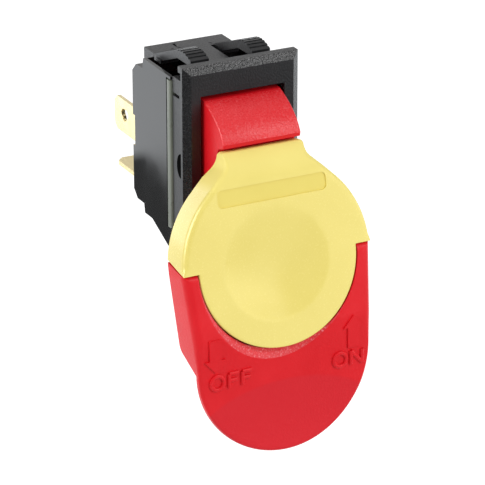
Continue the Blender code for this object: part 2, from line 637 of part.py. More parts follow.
def key_outline():
    """The key's outline on the paddle's face: a small disc below, a wide cap above and a neck on top."""
    lower = arc((0.0, 0.0), KEY_DISC_RADIUS, math.pi, 2 * math.pi, 2 * ARC_STEPS)
    shoulder_x = PADDLE_HALF_WIDTH * math.cos(SHOULDER_ANGLE)
    shoulder_y = PADDLE_HALF_WIDTH * math.sin(SHOULDER_ANGLE)
    meet_y = shoulder_y + (shoulder_x - NECK_HALF_WIDTH) / math.tan(SHOULDER_ANGLE)
    fillet_y = meet_y + NECK_FILLET * math.tan(SHOULDER_ANGLE / 2)
    fillet = (NECK_HALF_WIDTH + NECK_FILLET, fillet_y)
    start = math.asin(STEP_HEIGHT / PADDLE_HALF_WIDTH)
    right = [(KEY_DISC_RADIUS, STEP_HEIGHT)]
    right += arc((0.0, 0.0), PADDLE_HALF_WIDTH, start, SHOULDER_ANGLE)
    right += arc(fillet, NECK_FILLET, math.pi + SHOULDER_ANGLE, math.pi, ARC_STEPS // 2)
    right.append((NECK_HALF_WIDTH, NECK_TOP))
    left = [(-x, y) for x, y in reversed(right)]
    return lower + right + left


def make_key(finish_material):
    """Lock key: a front plate, the cap's side wall and neck above, and the tongue that holds back the bolt."""
    bend = NECK_TOP - NECK_BEND_START
    steps = ARC_STEPS // 2
    front = [(-PADDLE_HALF_WIDTH, 0.0)]
    front += [(NECK_BEND_START + bend * step / steps, -NECK_SETBACK * (step / steps) ** 2)
              for step in range(steps + 1)]
    profile = front + [
        (NECK_TOP, -NECK_SETBACK - NECK_TIP),
        (BACKING_TOP + NECK_HEEL, -KEY_DEPTH),
        (STEP_HEIGHT, -KEY_DEPTH),
        (STEP_HEIGHT, -KEY_PLATE),
        (-PADDLE_HALF_WIDTH, -KEY_PLATE),
    ]
    key = prism("lock_key", profile, "X", -PADDLE_HALF_WIDTH - FIT, PADDLE_HALF_WIDTH + FIT)
    boolean(key, prism("outline", key_outline(), "Z", -KEY_DEPTH - FIT, FIT), "INTERSECT")
    pocket_radius = PADDLE_HALF_WIDTH - KEY_WALL
    pocket_top = math.asin((BACKING_TOP + FIT) / pocket_radius)
    pocket = arc((0.0, 0.0), pocket_radius, -FIT / pocket_radius, pocket_top)
    pocket += arc((0.0, 0.0), pocket_radius, math.pi - pocket_top, math.pi + FIT / pocket_radius)
    cut(key, prism("pocket", pocket, "Z", -KEY_DEPTH - FIT, -KEY_PLATE))
    ball = (DISH_RADIUS ** 2 + DISH_DEPTH ** 2) / (2 * DISH_DEPTH)
    edge = math.acos(1 - (DISH_DEPTH + FIT) / ball)
    rings = [edge * (step + 1) / DISH_RINGS for step in range(DISH_RINGS)]
    dish = [(ball * math.sin(angle), ball - DISH_DEPTH - ball * math.cos(angle)) for angle in rings]
    cut(key, turned("thumb dish", dish, Matrix.Identity(4), 2 * ROUND_SEGMENTS))
    panel_low = DISH_RADIUS + PANEL_ABOVE_DISH
    cut(key, box("sunk panel", (-PANEL_HALF_WIDTH, panel_low, -PANEL_DEPTH),
                 (PANEL_HALF_WIDTH, panel_low + PANEL_HEIGHT, FIT)))
    low = -KEY_DEPTH - FIT
    below = [(-FIT, FIT), (step_height(FIT) + FIT / 2, FIT), (step_height(low) + FIT / 2, low), (-FIT, low)]
    for hand in SIDES.values():
        x0, x1 = sorted((hand * KEY_DISC_RADIUS, hand * (PADDLE_HALF_WIDTH + FIT)))
        cut(key, prism("step", below, "X", x0, x1))
    root = -KEY_PLATE + FIT
    tongue = [
        (TONGUE_CENTRE - TONGUE_TIP_HALF, root),
        (TONGUE_CENTRE - TONGUE_TIP_HALF, -TONGUE_TIP_DEPTH),
        (tongue_top(-TONGUE_TIP_DEPTH), -TONGUE_TIP_DEPTH),
        (tongue_top(root), root),
    ]
    fuse(key, prism("tongue", tongue, "X", -TONGUE_HALF_WIDTH, TONGUE_HALF_WIDTH))
    key.data.transform(PADDLE_FRAME)
    return finish(key, finish_material, PADDLE_CENTRE, math.radians(25.0))


def make_bolt(finish_material):
    """Lock bolt: a plate with a window for the tongue, whose nose drops into the frame's slot."""
    bolt = box("lock_bolt", (-BOLT_HALF_WIDTH, BOLT_NOSE, -BOLT_BACK_DEPTH),
               (BOLT_HALF_WIDTH, BOLT_TOP, -BOLT_FRONT_DEPTH))
    window_x = TONGUE_HALF_WIDTH + FIT
    cut(bolt, box("window", (-window_x, TONGUE_CENTRE - TONGUE_TIP_HALF - FIT, -BOLT_BACK_DEPTH - FIT),
                  (window_x, tongue_top(-BOLT_FRONT_DEPTH) + FIT, -BOLT_FRONT_DEPTH + FIT)))
    bolt.data.transform(PADDLE_FRAME)
    return finish(bolt, finish_material, PADDLE_CENTRE)


def make_coil(name, radius, wire, length, turns, matrix, finish_material):
    """A compression spring along the frame's z axis, as one round wire."""
    per_turn = 12
    count = per_turn * turns
    curve = bpy.data.curves.new(name, "CURVE")
    curve.dimensions = "3D"
    curve.bevel_depth = wire
    curve.bevel_resolution = 1
    curve.use_fill_caps = True
    spline = curve.splines.new("POLY")
    spline.points.add(count)
    for index, point in enumerate(spline.points):
        angle = 2 * math.pi * index / per_turn
        height = wire + (length - 2 * wire) * index / count
        place = matrix @ Vector((radius * math.cos(angle), radius * math.sin(angle), height))
        point.co = (*place, 1.0)
    made = bpy.data.objects.new(name, curve)
    bpy.context.scene.collection.objects.link(made)
    curve.materials.append(finish_material)
    return made


def make_plunger(side, finish_material):
    """A round plunger with a domed tip, in its bore in the rocker."""
    back = PLUNGER_TIP - PLUNGER_LENGTH
    dome = arc((0.0, PLUNGER_TIP - PLUNGER_RADIUS), PLUNGER_RADIUS, 0.0, math.radians(78.0), 5)
    place = Matrix.Translation((SIDES[side] * POLE_X, 0.0, 0.0)) @ PLUNGER_FRAME
    plunger = turned(f"plunger_{side}", [(PLUNGER_RADIUS, back)] + dome, place)
    origin = place @ Vector((0.0, 0.0, back))
    return finish(plunger, finish_material, origin, math.radians(40.0))


def make_arm(side, finish_material):
    """A see-saw arm: two wings that meet at the cradle, and a lug on each side that rocks in its notches."""
    half = ARM_THICKNESS / 2
    lean = math.tan(ARM_SWING / 2)
    low = END_ROW_Z - ARM_END_MARGIN + CONTACT_ABOVE_ROW
    rise = Vector((-math.sin(ARM_SWING), math.cos(ARM_SWING)))
    across = Vector((math.cos(ARM_SWING), math.sin(ARM_SWING)))
    top = Vector((ARM_Y, 0.0)) + rise * ARM_UPPER_LENGTH
    outline = [
        (ARM_FRONT_Y, low),
        (ARM_BACK_Y, low),
        (ARM_BACK_Y, half * lean),
        tuple(top + across * half),
        tuple(top - across * half),
        (ARM_FRONT_Y, -half * lean),
    ]
    hand = SIDES[side]
    x0, x1 = sorted((hand * (POLE_X - ARM_WIDTH / 2), hand * (POLE_X + ARM_WIDTH / 2)))
    arm = prism(f"contact_arm_{side}", outline, "X", x0, x1)
    x0, x1 = sorted((hand * (CRADLE_X0 + FIT / 3), hand * (TAB_X1 - FIT / 3)))
    inset = FIT / 10
    fuse(arm, box("lug", (x0, ARM_FRONT_Y + inset, -ARM_LUG_HALF), (x1, ARM_BACK_Y - inset, ARM_LUG_HALF)))
    place = rivet_place(hand)
    hole = [(CONTACT_SHANK_RADIUS + FIT, ARM_FRONT_Y - FIT), (CONTACT_SHANK_RADIUS + FIT, ARM_BACK_Y + FIT)]
    cut(arm, turned("rivet hole", hole, place))
    return finish(arm, finish_material, ARM_PIVOT)


def rivet_place(hand):
    """A frame whose z axis runs along +Y through a pole's contact."""
    return Matrix.Translation((hand * POLE_X, 0.0, CONTACT_Z)) @ Matrix.Rotation(-math.pi / 2, 4, "X")


def make_rivet(name, hand, head_out, head_in, tail_in, tail_out, finish_material, origin=None):
    """A contact rivet, given the Y of its face, the head's inner side and both sides of its tail."""
    profile = [
        (CONTACT_RADIUS, head_out),
        (CONTACT_RADIUS, head_in),
        (CONTACT_SHANK_RADIUS, head_in),
        (CONTACT_SHANK_RADIUS, tail_in),
        (CONTACT_TAIL_RADIUS, tail_in),
        (CONTACT_TAIL_RADIUS, tail_out),
    ]
    rivet = turned(name, profile, rivet_place(hand))
    return finish(rivet, finish_material, origin, math.radians(40.0))


def tab_outline(low, half, start):
    """A quick-connect tab's outline along Y, with its two tip corners cut off."""
    return [
        (start, low - half),
        (TAB_TIP_Y - TAB_CHAMFER, low - half),
        (TAB_TIP_Y, low - half + TAB_CHAMFER),
        (TAB_TIP_Y, low + half - TAB_CHAMFER),
        (TAB_TIP_Y - TAB_CHAMFER, low + half),
        (start, low + half),
    ]


def make_centre_terminal(side, finish_material):
    """Centre terminal: a tab on edge, and a cradle whose two notched ears carry the contact arm."""
    hand = SIDES[side]
    ear_front = ARM_Y - CRADLE_EAR_AHEAD
    floor_y = ARM_Y + CRADLE_FLOOR_BEHIND
    floor_back = floor_y + TAB_THICKNESS
    section = [
        (CRADLE_X0, ear_front), (CRADLE_X1, ear_front), (CRADLE_X1, floor_y),
        (TAB_X0, floor_y), (TAB_X0, ear_front), (TAB_X1, ear_front),
        (TAB_X1, floor_back), (CRADLE_X0, floor_back),
    ]
    section = [(hand * x, y) for x, y in section]
    terminal = prism(f"centre_terminal_{side}", section, "Z", -CRADLE_HALF_HEIGHT, CRADLE_HALF_HEIGHT)
    inset = FIT / 10
    x0, x1 = sorted((hand * (TAB_X0 + inset), hand * (TAB_X1 - inset)))
    fuse(terminal, prism("tab", tab_outline(0.0, TAB_WIDTH / 2, floor_y + inset), "X", x0, x1))
    bottom = ARM_BACK_Y + FIT
    reach = hand * (TAB_X1 + FIT)
    x0, x1 = sorted((0.0, reach))
    cut(terminal, box("notch", (x0, ear_front - FIT, -CRADLE_NOTCH_HALF), (x1, bottom, CRADLE_NOTCH_HALF)))
    turn = Matrix.Translation((0.0, TAB_TIP_Y - TAB_HOLE_FROM_TIP, 0.0)) @ Matrix.Rotation(
        hand * math.pi / 2, 4, "Y")
    hole = [(TAB_HOLE_RADIUS, TAB_X0 - FIT), (TAB_HOLE_RADIUS, TAB_X1 + FIT)]
    cut(terminal, turned("tab hole", hole, turn))
    return finish(terminal, finish_material)


def make_end_terminal(side, finish_material):
    """End terminal: a flat tab, bent up inside the base into the pad of the fixed contact."""
    hand = SIDES[side]
    half = TAB_THICKNESS / 2
    outline = [(x, y) for y, x in tab_outline(hand * POLE_X, TAB_WIDTH / 2, PAD_Y0)]
    terminal = prism(f"end_terminal_{side}", outline, "Z", END_ROW_Z - half, END_ROW_Z + half)
    inset = FIT / 10
    x0, x1 = sorted((hand * (POLE_X - ARM_WIDTH / 2), hand * (POLE_X + ARM_WIDTH / 2)))
    fuse(terminal, box("pad", (x0, PAD_Y0 + inset, END_ROW_Z - half + inset),
                       (x1, PAD_Y1, CONTACT_Z + CONTACT_RADIUS + FIT)))
    hole = [(CONTACT_SHANK_RADIUS + FIT, PAD_Y0 - FIT), (CONTACT_SHANK_RADIUS + FIT, PAD_Y1 + FIT)]
    cut(terminal, turned("rivet hole", hole, rivet_place(hand)))
    hole = [(TAB_HOLE_RADIUS, END_ROW_Z - TAB_THICKNESS), (TAB_HOLE_RADIUS, END_ROW_Z + TAB_THICKNESS)]
    place = Matrix.Translation((hand * POLE_X, TAB_TIP_Y - TAB_HOLE_FROM_TIP, 0.0))
    cut(terminal, turned("tab hole", hole, place))
    return finish(terminal, finish_material)


def make_part():
    clear_scene()
    black = material("black_nylon", (0.030, 0.030, 0.032), 0.55)
    gloss = material("black_gloss", (0.020, 0.020, 0.022), 0.18)
    red = material("red_plastic", (0.70, 0.020, 0.030), 0.38)
    yellow = material("yellow_plastic", (0.86, 0.72, 0.22), 0.36)
    white = material("white_nylon", (0.78, 0.77, 0.72), 0.45)
    brass = material("brass", (0.78, 0.60, 0.26), 0.25, 1.0)
    copper = material("copper", (0.80, 0.42, 0.26), 0.28, 1.0)
    silver = material("silver", (0.80, 0.80, 0.78), 0.22, 1.0)
    steel = material("spring_steel", (0.55, 0.55, 0.56), 0.30, 1.0)

    make_frame(black)
    make_base(gloss)
    make_paddle(red)
    make_key(yellow)
    make_bolt(white)
    spring_place = PADDLE_FRAME @ Matrix.Translation(
        (0.0, BOLT_TOP + FIT, -BOLT_FRONT_DEPTH - BOLT_THICKNESS / 2)) @ Matrix.Rotation(-math.pi / 2, 4, "X")
    make_coil("lock_spring", LOCK_SPRING_RADIUS, LOCK_SPRING_WIRE, LOCK_SPRING_LENGTH,
              LOCK_SPRING_TURNS, spring_place, steel)

    for side, hand in SIDES.items():
        make_plunger(side, white)
        spring_start = PLUNGER_TIP - PLUNGER_LENGTH - FIT - PLUNGER_SPRING_LENGTH
        place = Matrix.Translation((hand * POLE_X, 0.0, 0.0)) @ PLUNGER_FRAME @ Matrix.Translation(
            (0.0, 0.0, spring_start))
        make_coil(f"plunger_spring_{side}", PLUNGER_SPRING_RADIUS, PLUNGER_SPRING_WIRE,
                  PLUNGER_SPRING_LENGTH, PLUNGER_SPRING_TURNS, place, steel)
        make_arm(side, copper)
        make_rivet(f"moving_contact_{side}", hand, MOVING_HEAD_Y + CONTACT_HEAD, MOVING_HEAD_Y,
                   ARM_FRONT_Y - FIT, ARM_FRONT_Y - FIT - CONTACT_TAIL, silver, ARM_PIVOT)
        make_rivet(f"fixed_contact_{side}", hand, FIXED_HEAD_Y, FIXED_HEAD_Y + CONTACT_HEAD,
                   PAD_Y1 + FIT, PAD_Y1 + FIT + CONTACT_TAIL, silver)
        make_centre_terminal(side, brass)
        make_end_terminal(side, brass)


make_part()
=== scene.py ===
"""Looks of the snap-in paddle rocker switch: fine mouldings, procedural finishes, studio and camera.

Shapes are worked out in millimetres and brought to the frame's metres when they are placed. The frame
has +Z up, +X to the operator's right and +Y through the panel. The paddle's face has a frame of its own:
x across, y up the face and z out of it.
"""

import json
import math

import bmesh
import bpy
from mathutils import Matrix, Vector


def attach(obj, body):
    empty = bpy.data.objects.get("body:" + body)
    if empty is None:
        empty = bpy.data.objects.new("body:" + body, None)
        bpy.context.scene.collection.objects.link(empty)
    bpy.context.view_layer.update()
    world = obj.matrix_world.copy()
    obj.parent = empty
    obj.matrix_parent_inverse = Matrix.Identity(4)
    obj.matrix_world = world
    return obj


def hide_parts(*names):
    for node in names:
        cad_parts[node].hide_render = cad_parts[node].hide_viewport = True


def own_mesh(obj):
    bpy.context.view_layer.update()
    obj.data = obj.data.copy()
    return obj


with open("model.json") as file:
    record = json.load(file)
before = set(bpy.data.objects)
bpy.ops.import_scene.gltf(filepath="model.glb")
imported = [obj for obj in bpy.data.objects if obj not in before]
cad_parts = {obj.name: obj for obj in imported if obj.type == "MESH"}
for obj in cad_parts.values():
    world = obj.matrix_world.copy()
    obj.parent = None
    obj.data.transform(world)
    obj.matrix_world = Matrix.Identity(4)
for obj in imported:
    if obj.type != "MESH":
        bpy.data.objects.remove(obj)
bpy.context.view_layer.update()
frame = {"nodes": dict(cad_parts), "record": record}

PER_METRE = 1000.0
MM = 1.0 / PER_METRE
METRES = Matrix.Scale(MM, 4)
FIT = 0.3

# A tool that skims a face ends this far clear of it, and one that cuts through runs this far past
PROUD = 0.03
PAST = 1.0

# Points nearer than this count as level with each other
NEAR = 0.01

# Edges that turn more than this stay sharp to the light or get a bevel, and flatter ones are joined
SHARP_EDGE = math.radians(32.0)
FLAT_EDGE = math.radians(1.0)
SAME_PLACE = 0.001
BEVEL_SEGMENTS = 3
MOULDED_EDGE = 0.15
HOUSING_EDGE = 0.2
STAMPED_EDGE = 0.12

# Rounded edges run out at corners that turn more sharply than this
SHARP_CORNER = math.radians(40.0)
CORNER_TAPER = 0.6

# Opening, pivot and stations of the housing
OPENING_Z = 13.25
PIVOT_Y = 4.0
THROW = math.radians(18.0)
BEZEL_FRONT_Y = -2.55
BASE_X = 10.0
BASE_BACK_Y = 20.7
SHOULDER_Y = 16.5
COLLAR_X = 9.7
STRAP_TOP = 15.07
STRAP_HALF_WIDTH = 7.65
TONGUE_STRAP_X = 3.1

# Details of the bezel's straps and collar
FINGER_X = 4.15
FINGER_TIP_Y = 2.1
FINGER_RIB_END = 7.9
FINGER_PEAK = (5.4, 18.95)
FINGER_CURVE = 0.079
FINGER_UNDER = (17.35, 17.5)
RIBS = 6
RIB_SHARE = 0.55
RIB_DEPTH = 0.2
CLOSED_SLIT = (3.35, 4.05)
CLOSED_SLIT_Y = SHOULDER_Y + 1.0
CLOSED_SLIT_DEPTH = 2.0
SLIT_X = -2.4
SLIT_HALF = 0.25
SLIT_Y = (17.0, 19.8)
SLIT_DEPTH = 0.7
NOTCH_Y = (2.4, 5.2)
NOTCH_Z = (11.5, 12.1)
NOTCH_DEPTH = 0.9
COLLAR_HOLE = (1.95, -0.75)
COLLAR_HOLE_REACH = (1.6, 2.3)
COLLAR_HOLE_DEPTH = 0.7
# Where the frame's front takes the grain with its painted glint flecks
GRAIN_GLINTS_FRONT_Y = -1.55
GRAIN_GLINTS_TURN = -0.97
REBATE_X = 10.2
REBATE_DEPTH = 1.0
REBATE_END_Z = 17.4

# Details of the base
WELL_X = (3.3, 9.3)
WELL_Y = (4.0, 15.9)
WELL_Z = (10.8, 16.5)
BEAD_Y = (5.04, 6.75)
BEAD_Z = (-13.6, 14.2)
BEAD_ROUND = 0.55
BEAD_PROUD = 0.15
BEAD_ROOT = 0.8
GROOVE_WIDTH = 0.22
GROOVE_DEPTH = 0.35

# Holes in the tabs
TAB_HOLE = (26.75, 0.6)
TAB_HOLE_REACH = (1.45, 0.95)

# Rocker
ROCKER_X = 7.4
ROCKER_REACH = OPENING_Z - 0.35
ROCKER_BACK_Y = 1.4
ROCKER_TOP_END = math.radians(11.0)
ROCKER_BOTTOM_END = math.radians(29.0)
CROWN_BACK = (-2.5, 12.3)
CROWN_FULLNESS = (1.55, 3.45)
CROWN_STEPS = 28
CROWN_DROP = 12.0
CROWN_UPWARD = 0.2
ROCKER_EDGE = 0.25
CROWN_GRAIN_GLINTS_TURN = 0.97
LIP_THICKNESS = 0.95
LIP_FRONT = 1.8
LIP_UNDER = 0.3
TRUNNION_RADIUS = 1.5
TRUNNION_END = 8.5
POLE_X = 5.5
PLUNGER_BORE = 1.4
BOSS_HALF = 2.2
BOSS_REACH = 5.6
BOSS_START = -4.1
BORE_START = -3.3
BORE_END = 8.0

# Paddle tray
PADDLE_TILT = math.radians(12.0)
PADDLE_CENTRE = (0.0, -16.0, OPENING_Z - 26.7)
PADDLE_HALF_WIDTH = 18.0
PADDLE_TOP = 5.0
END_RADIUS = 16.6
END_CENTRE = 17.5
PADDLE_LENGTH = END_CENTRE + END_RADIUS
TRAY_MIDDLE = (0.0, -9.0)
LIP_BEND_START = 12.0
LIP_SETBACK = 2.7
LIP_PLATE = 1.1
SKIRT_TOP = 6.0
SKIRT_LOW = 6.9
SKIRT_END = 13.6
SKIRT_RUN = 3.9
SKIRT_WALL = 1.8
SKIRT_ROUND = 1.0
TRAY_FLOOR = 1.8
TRAY_EDGE = 1.4
TRAY_LIP_EDGE = 0.5
TRAY_TOP_ROUND = 1.1
LIP_DISH_CENTRE = -31.0
LIP_DISH_REACH = (19.0, 10.1)
LIP_DISH_DEPTH = 0.45
LIP_DISH_RIM = 0.03
# The hollow's darker, cooler red is painted shade, and where it fades out
LIP_HOLLOW_SHADE = (0.655, 0.012, 0.021)
LIP_HOLLOW_SHADE_EDGE = (0.90, 1.0)
STEP_HEIGHT = 0.2
STEP_RISE = 0.35
RECESS_RADIUS = 15.3
RECESS_DEPTH = 2.9
RECESS_STEPS = 160
CRESCENT_WIDTH = 1.8
CRESCENT_SLOPE = 0.5
CRESCENT_SPREAD = 3.8
CRESCENT_TURN = math.radians(17)
CRESCENT_FACING = (0.2, 0.98)
BACKING_RADIUS = 15.9
BACKING_TOP = 14.5
BACKING_BACK = 7.5

# Lock key
KEY_DISC_RADIUS = 15.08
KEY_PLATE = 2.6
KEY_DEPTH = 6.3
KEY_WALL = 1.8
KEY_EDGE = 0.95
DISC_EDGE = 0.22
STEP_EDGE = 0.2
NECK_EDGE_START = 17.5
KEY_MIDDLE = (0.0, 3.0)
SHOULDER_ANGLE = math.radians(46.0)
NECK_HALF_WIDTH = 7.7
NECK_FILLET = 3.0
NECK_TOP = 19.75
NECK_CORNER = 0.6
NECK_BEND_START = 14.0
NECK_SETBACK = 2.2
NECK_TIP = 1.7
NECK_HEEL = 15.5
NECK_SOFT = (12.5, 15.0)
NECK_ROUGHNESS = 0.55
DISH_CENTRE = (-0.4, -0.2)
DISH_RADIUS = 10.1
DISH_DEPTH = 1.35
DISH_RIM = 0.06
DISH_LEAN = (0.15, 0.75)
PANEL_HALF_WIDTH = 10.4
PANEL_LOW = 10.8
PANEL_HIGH = 13.9
PANEL_DEPTH = 0.2
PANEL_CORNER = 0.9
TONGUE_CENTRE = 10.5
TONGUE_HALF_WIDTH = 1.6
TONGUE_TIP_HALF = 1.0
TONGUE_TIP = 12.9
TONGUE_TAPER = 0.1

# Lock channel in the paddle
CHANNEL_HALF_WIDTH = 2.9
CHANNEL_FRONT = 10.1
CHANNEL_BACK = 12.3
CHANNEL_TOP = 18.8

# Raised marks on the paddle's face
MARK_HEIGHT = 0.32
MARK_FOOT = 0.2
STROKE_HALF = 0.36
STROKE_WALL = 0.12
STROKE_CROWN = 0.32
STROKE_STEPS = 6
ARROW_STEM_HALF = 1.12
ARROW_STEM = 3.65
ARROW_HEAD_HALF = 2.0
ARROW_HEAD = 2.2
OFF_ARROW = (-13.5, -17.3)
ON_ARROW = (13.3, -12.1)
LETTER_WIDTH = {"O": 2.45, "F": 1.75, "N": 2.2}
LETTER_HEIGHT = 2.45
OFF_LETTERS = (("O", -13.15), ("F", -10.05), ("F", -7.5))
ON_LETTERS = (("O", 10.65), ("N", 13.9))
OFF_LEVEL = -19.25
ON_LEVEL = -19.85

# Finishes
PLASTIC_UNEVEN = 0.06
METAL_UNEVEN = 0.07
DRAWN_STRENGTH = 0.5
DRAWN_DEPTH = 0.004
GLINT_FLECK_SHARE = (0.52, 0.72)
COLOUR_DRIFT = 9.0
METAL_DRIFT = 3.0
DRAWN_LINES = 1.0
BLACKS = ((0.010, 0.010, 0.011), (0.014, 0.014, 0.015))
DRAWN = (1.0, 0.08, 1.0)
UPRIGHT = (1.0, 1.0, 0.08)
EVEN = (1.0, 1.0, 1.0)

# Name, two tones, roughness, size and depth of the grain, and where they differ the IOR and the colour of
# lighter flecks, which are painted glints
PLASTICS = (
    ("black_nylon", *BLACKS, 0.36, 0.36, 0.055),
    # The lighter flecks on the frame's grained front are painted glints; its grain bump and roughness are
    # real
    ("black_nylon_grain_glints", *BLACKS, 0.26, 0.32, 0.085, 1.5, (0.024, 0.024, 0.025)),
    ("black_gloss", (0.010, 0.010, 0.010), (0.013, 0.013, 0.013), 0.06, 14.0, 0.0005),
    # The near-black lining of the collar's holes is painted shade
    ("hole_painted_shade", (0.003, 0.003, 0.003), (0.005, 0.005, 0.005), 0.8, 0.5, 0.01, 1.1),
    # The bead's grey-green on the black base is a painted highlight
    ("bead", (0.13, 0.145, 0.115), (0.17, 0.185, 0.15), 0.32, 0.8, 0.006),
    ("red_plastic", (0.67, 0.006, 0.012), (0.72, 0.010, 0.017), 0.40, 0.34, 0.035, 1.36),
    # The pink flecks in the crown's grain are painted glints; the grain bump and roughness are real
    ("red_plastic_grain_glints", (0.68, 0.012, 0.018), (0.73, 0.016, 0.022), 0.30, 0.30, 0.08, 1.5,
     (0.78, 0.075, 0.085)),
    # The crescent's paler red and pink flecks are painted sheen and glints; its texture bump and roughness
    # are real
    ("red_plastic_rough_sheen", (0.67, 0.026, 0.036), (0.72, 0.034, 0.046), 0.42, 0.32, 0.08, 1.45,
     (0.80, 0.20, 0.23)),
    ("yellow_plastic", (0.80, 0.672, 0.175), (0.83, 0.702, 0.192), 0.24, 0.30, 0.002),
    # The sunk panel's darker yellow is painted shade; its higher roughness is real
    ("yellow_panel_painted_shade", (0.775, 0.640, 0.142), (0.805, 0.670, 0.158), 0.40, 0.22, 0.012),
    ("white_nylon", (0.74, 0.73, 0.67), (0.80, 0.79, 0.74), 0.45, 0.3, 0.006),
)

# Name, two tones, roughness and the stretch of the drawn lines
METALS = (
    ("brass", (0.86, 0.72, 0.38), (0.92, 0.79, 0.47), 0.30, DRAWN),
    ("copper", (0.74, 0.38, 0.24), (0.80, 0.45, 0.30), 0.30, UPRIGHT),
    ("silver", (0.76, 0.76, 0.74), (0.84, 0.84, 0.82), 0.26, EVEN),
    ("spring_steel", (0.50, 0.50, 0.51), (0.60, 0.60, 0.61), 0.30, EVEN),
)

# Directions in the frame
RIGHT = (1.0, 0.0, 0.0)
BACK = (0.0, 1.0, 0.0)
FRONT = (0.0, -1.0, 0.0)
UP = (0.0, 0.0, 1.0)
FRONT_RIGHT = (1.0, 0.4, 0.0)

# Camera and studio
WHITE = (1.0, 1.0, 1.0, 1.0)
CAMERA_AZIMUTH = math.radians(27.1)
CAMERA_ELEVATION = math.radians(22.8)
CAMERA_ANCHOR = (0.0, -2.4, 17.3)
CAMERA_ANCHOR_RISE = 29.89
CAMERA_DISTANCE = 511.0
CAMERA_LENS = 222.68
CAMERA_CLIP = 0.01
SENSOR_WIDTH = 36.0
FLOOR_Z = -0.11
FLOOR_HALF = 6.0
FLOOR_GLOW = 0.45
FLOOR_COLOUR = (0.86, 0.86, 0.86, 1.0)
FLOOR_GLOSS_COLOUR = (0.94, 0.97, 1.0, 1.0)
FLOOR_ROUGHNESS = 0.9
FLOOR_SIDE = (0.1258, 0.1296)
FLOOR_DIM = 0.13
FLOOR_WHITE = 1.65
AMBIENT = 0.52
MIRROR_DIM = 0.06
LAMP_TARGET = (0.0, -0.01, -0.01)

# Zones in what glossy faces mirror: an axis, values before and after, and where along the axis they change
FLOOR_ZONES = {
    "back": (BACK, 0.0, 1.0, -0.10, 0.02),
    "near": (BACK, 1.0, 0.0, 0.17, 0.20),
    "far": (BACK, 0.0, 1.0, 0.263, 0.271),
    "deep": (BACK, 0.0, 3.6, 0.6, 1.2),
    "right": (FRONT_RIGHT, 0.0, 1.0, -0.05, 0.02),
    "front": (FRONT, 0.0, 1.0, 0.25, 0.60),
}
WORLD_ZONES = {
    "back": ((0.0, 0.8, -0.6), MIRROR_DIM, 0.8, 0.05, 0.4),
    "left": ((-0.87, -0.19, 0.44), MIRROR_DIM, 8.0, 0.88, 0.96),
    "corner": ((-0.45, 0.85, -0.3), MIRROR_DIM, 3.4, 0.6, 0.9),
    "above": (UP, 0.0, 1.0, 0.70, 0.90),
    "right": (FRONT_RIGHT, 0.0, 2.2, -0.06, 0.02),
    "low": (UP, 1.0, 0.0, 0.35, 0.55),
    "front": (FRONT, 0.0, 1.0, 0.0, 0.3),
}

PADDLE_FRAME = Matrix.Translation(PADDLE_CENTRE) @ Matrix.Rotation(math.pi / 2 - PADDLE_TILT, 4, "X")
FACE_UP = PADDLE_FRAME.to_3x3() @ Vector((0.0, 1.0, 0.0))
PIVOT = Vector((0.0, PIVOT_Y, 0.0))
PLUNGER_FRAME = Matrix.Translation(PIVOT) @ Matrix.Rotation(-math.pi / 2 - THROW / 2, 4, "X")
HANDS = (-1, 1)


def new_object(name, data):
    """Link an object that shows a mesh, a camera or a lamp."""
    made = bpy.data.objects.new(name, data)
    bpy.context.scene.collection.objects.link(made)
    return made


def solid(name, bm, matrix=None):
    """Turn a bmesh into an object with its faces pointing out."""
    if matrix is not None:
        bm.transform(matrix)
    bmesh.ops.recalc_face_normals(bm, faces=bm.faces)
    mesh = bpy.data.meshes.new(name)
    bm.to_mesh(mesh)
    bm.free()
    return new_object(name, mesh)


def skin(loops, closed=False):
    """A bmesh through loops of equal length, which joins up with itself or is capped at both ends."""
    bm = bmesh.new()
    rings = [[bm.verts.new(point) for point in loop] for loop in loops]
    if closed:
        rings.append(rings[0])
    else:
        bm.faces.new(rings[0])
        bm.faces.new(rings[-1])
    for low, high in zip(rings, rings[1:]):
        for index in range(len(low)):
            after = (index + 1) % len(low)
            bm.faces.new((low[index], low[after], high[after], high[index]))
    return bm


def prism(name, outline, axis, low, high, matrix=None):
    """Extrude an outline along X or Z."""
    if axis == "X":
        loops = [[(place, *point) for point in outline] for place in (low, high)]
    else:
        loops = [[(*point, place) for point in outline] for place in (low, high)]
    return solid(name, skin(loops), matrix)


def box(name, low, high, matrix=None):
    outline = [(low[0], low[1]), (high[0], low[1]), (high[0], high[1]), (low[0], high[1])]
    return prism(name, outline, "Z", low[2], high[2], matrix)


def full_turn(steps):
    """Angles evenly round a circle."""
    return [2 * math.pi * step / steps for step in range(steps)]


def oval(centre, reach, angles):
    """Points of an oval at some angles."""
    return [(centre[0] + reach[0] * math.cos(a), centre[1] + reach[1] * math.sin(a)) for a in angles]


def turned(name, profile, matrix, segments=40):
    """Turn a profile of (radius, height) points about the frame's z axis."""
    loops = []
    for radius, height in profile:
        loops.append([(radius * math.cos(a), radius * math.sin(a), height) for a in full_turn(segments)])
    return solid(name, skin(loops), matrix)


def apply_modifiers(made):
    """Keep what an object's modifiers make of its mesh."""
    graph = bpy.context.evaluated_depsgraph_get()
    mesh = bpy.data.meshes.new_from_object(made.evaluated_get(graph))
    made.modifiers.clear()
    made.data = mesh


def boolean(target, tool, operation):
    """Combine two bodies, keep the result in the first and let the tool's faces bring their material."""
    modifier = target.modifiers.new("combine", "BOOLEAN")
    modifier.operation = operation
    modifier.solver = "EXACT"
    modifier.material_mode = "TRANSFER"
    modifier.object = tool
    apply_modifiers(target)
    bpy.data.objects.remove(tool, do_unlink=True)


def cut(target, *tools):
    for tool in tools:
        boolean(target, tool, "DIFFERENCE")


def fuse(target, *tools):
    for tool in tools:
        boolean(target, tool, "UNION")


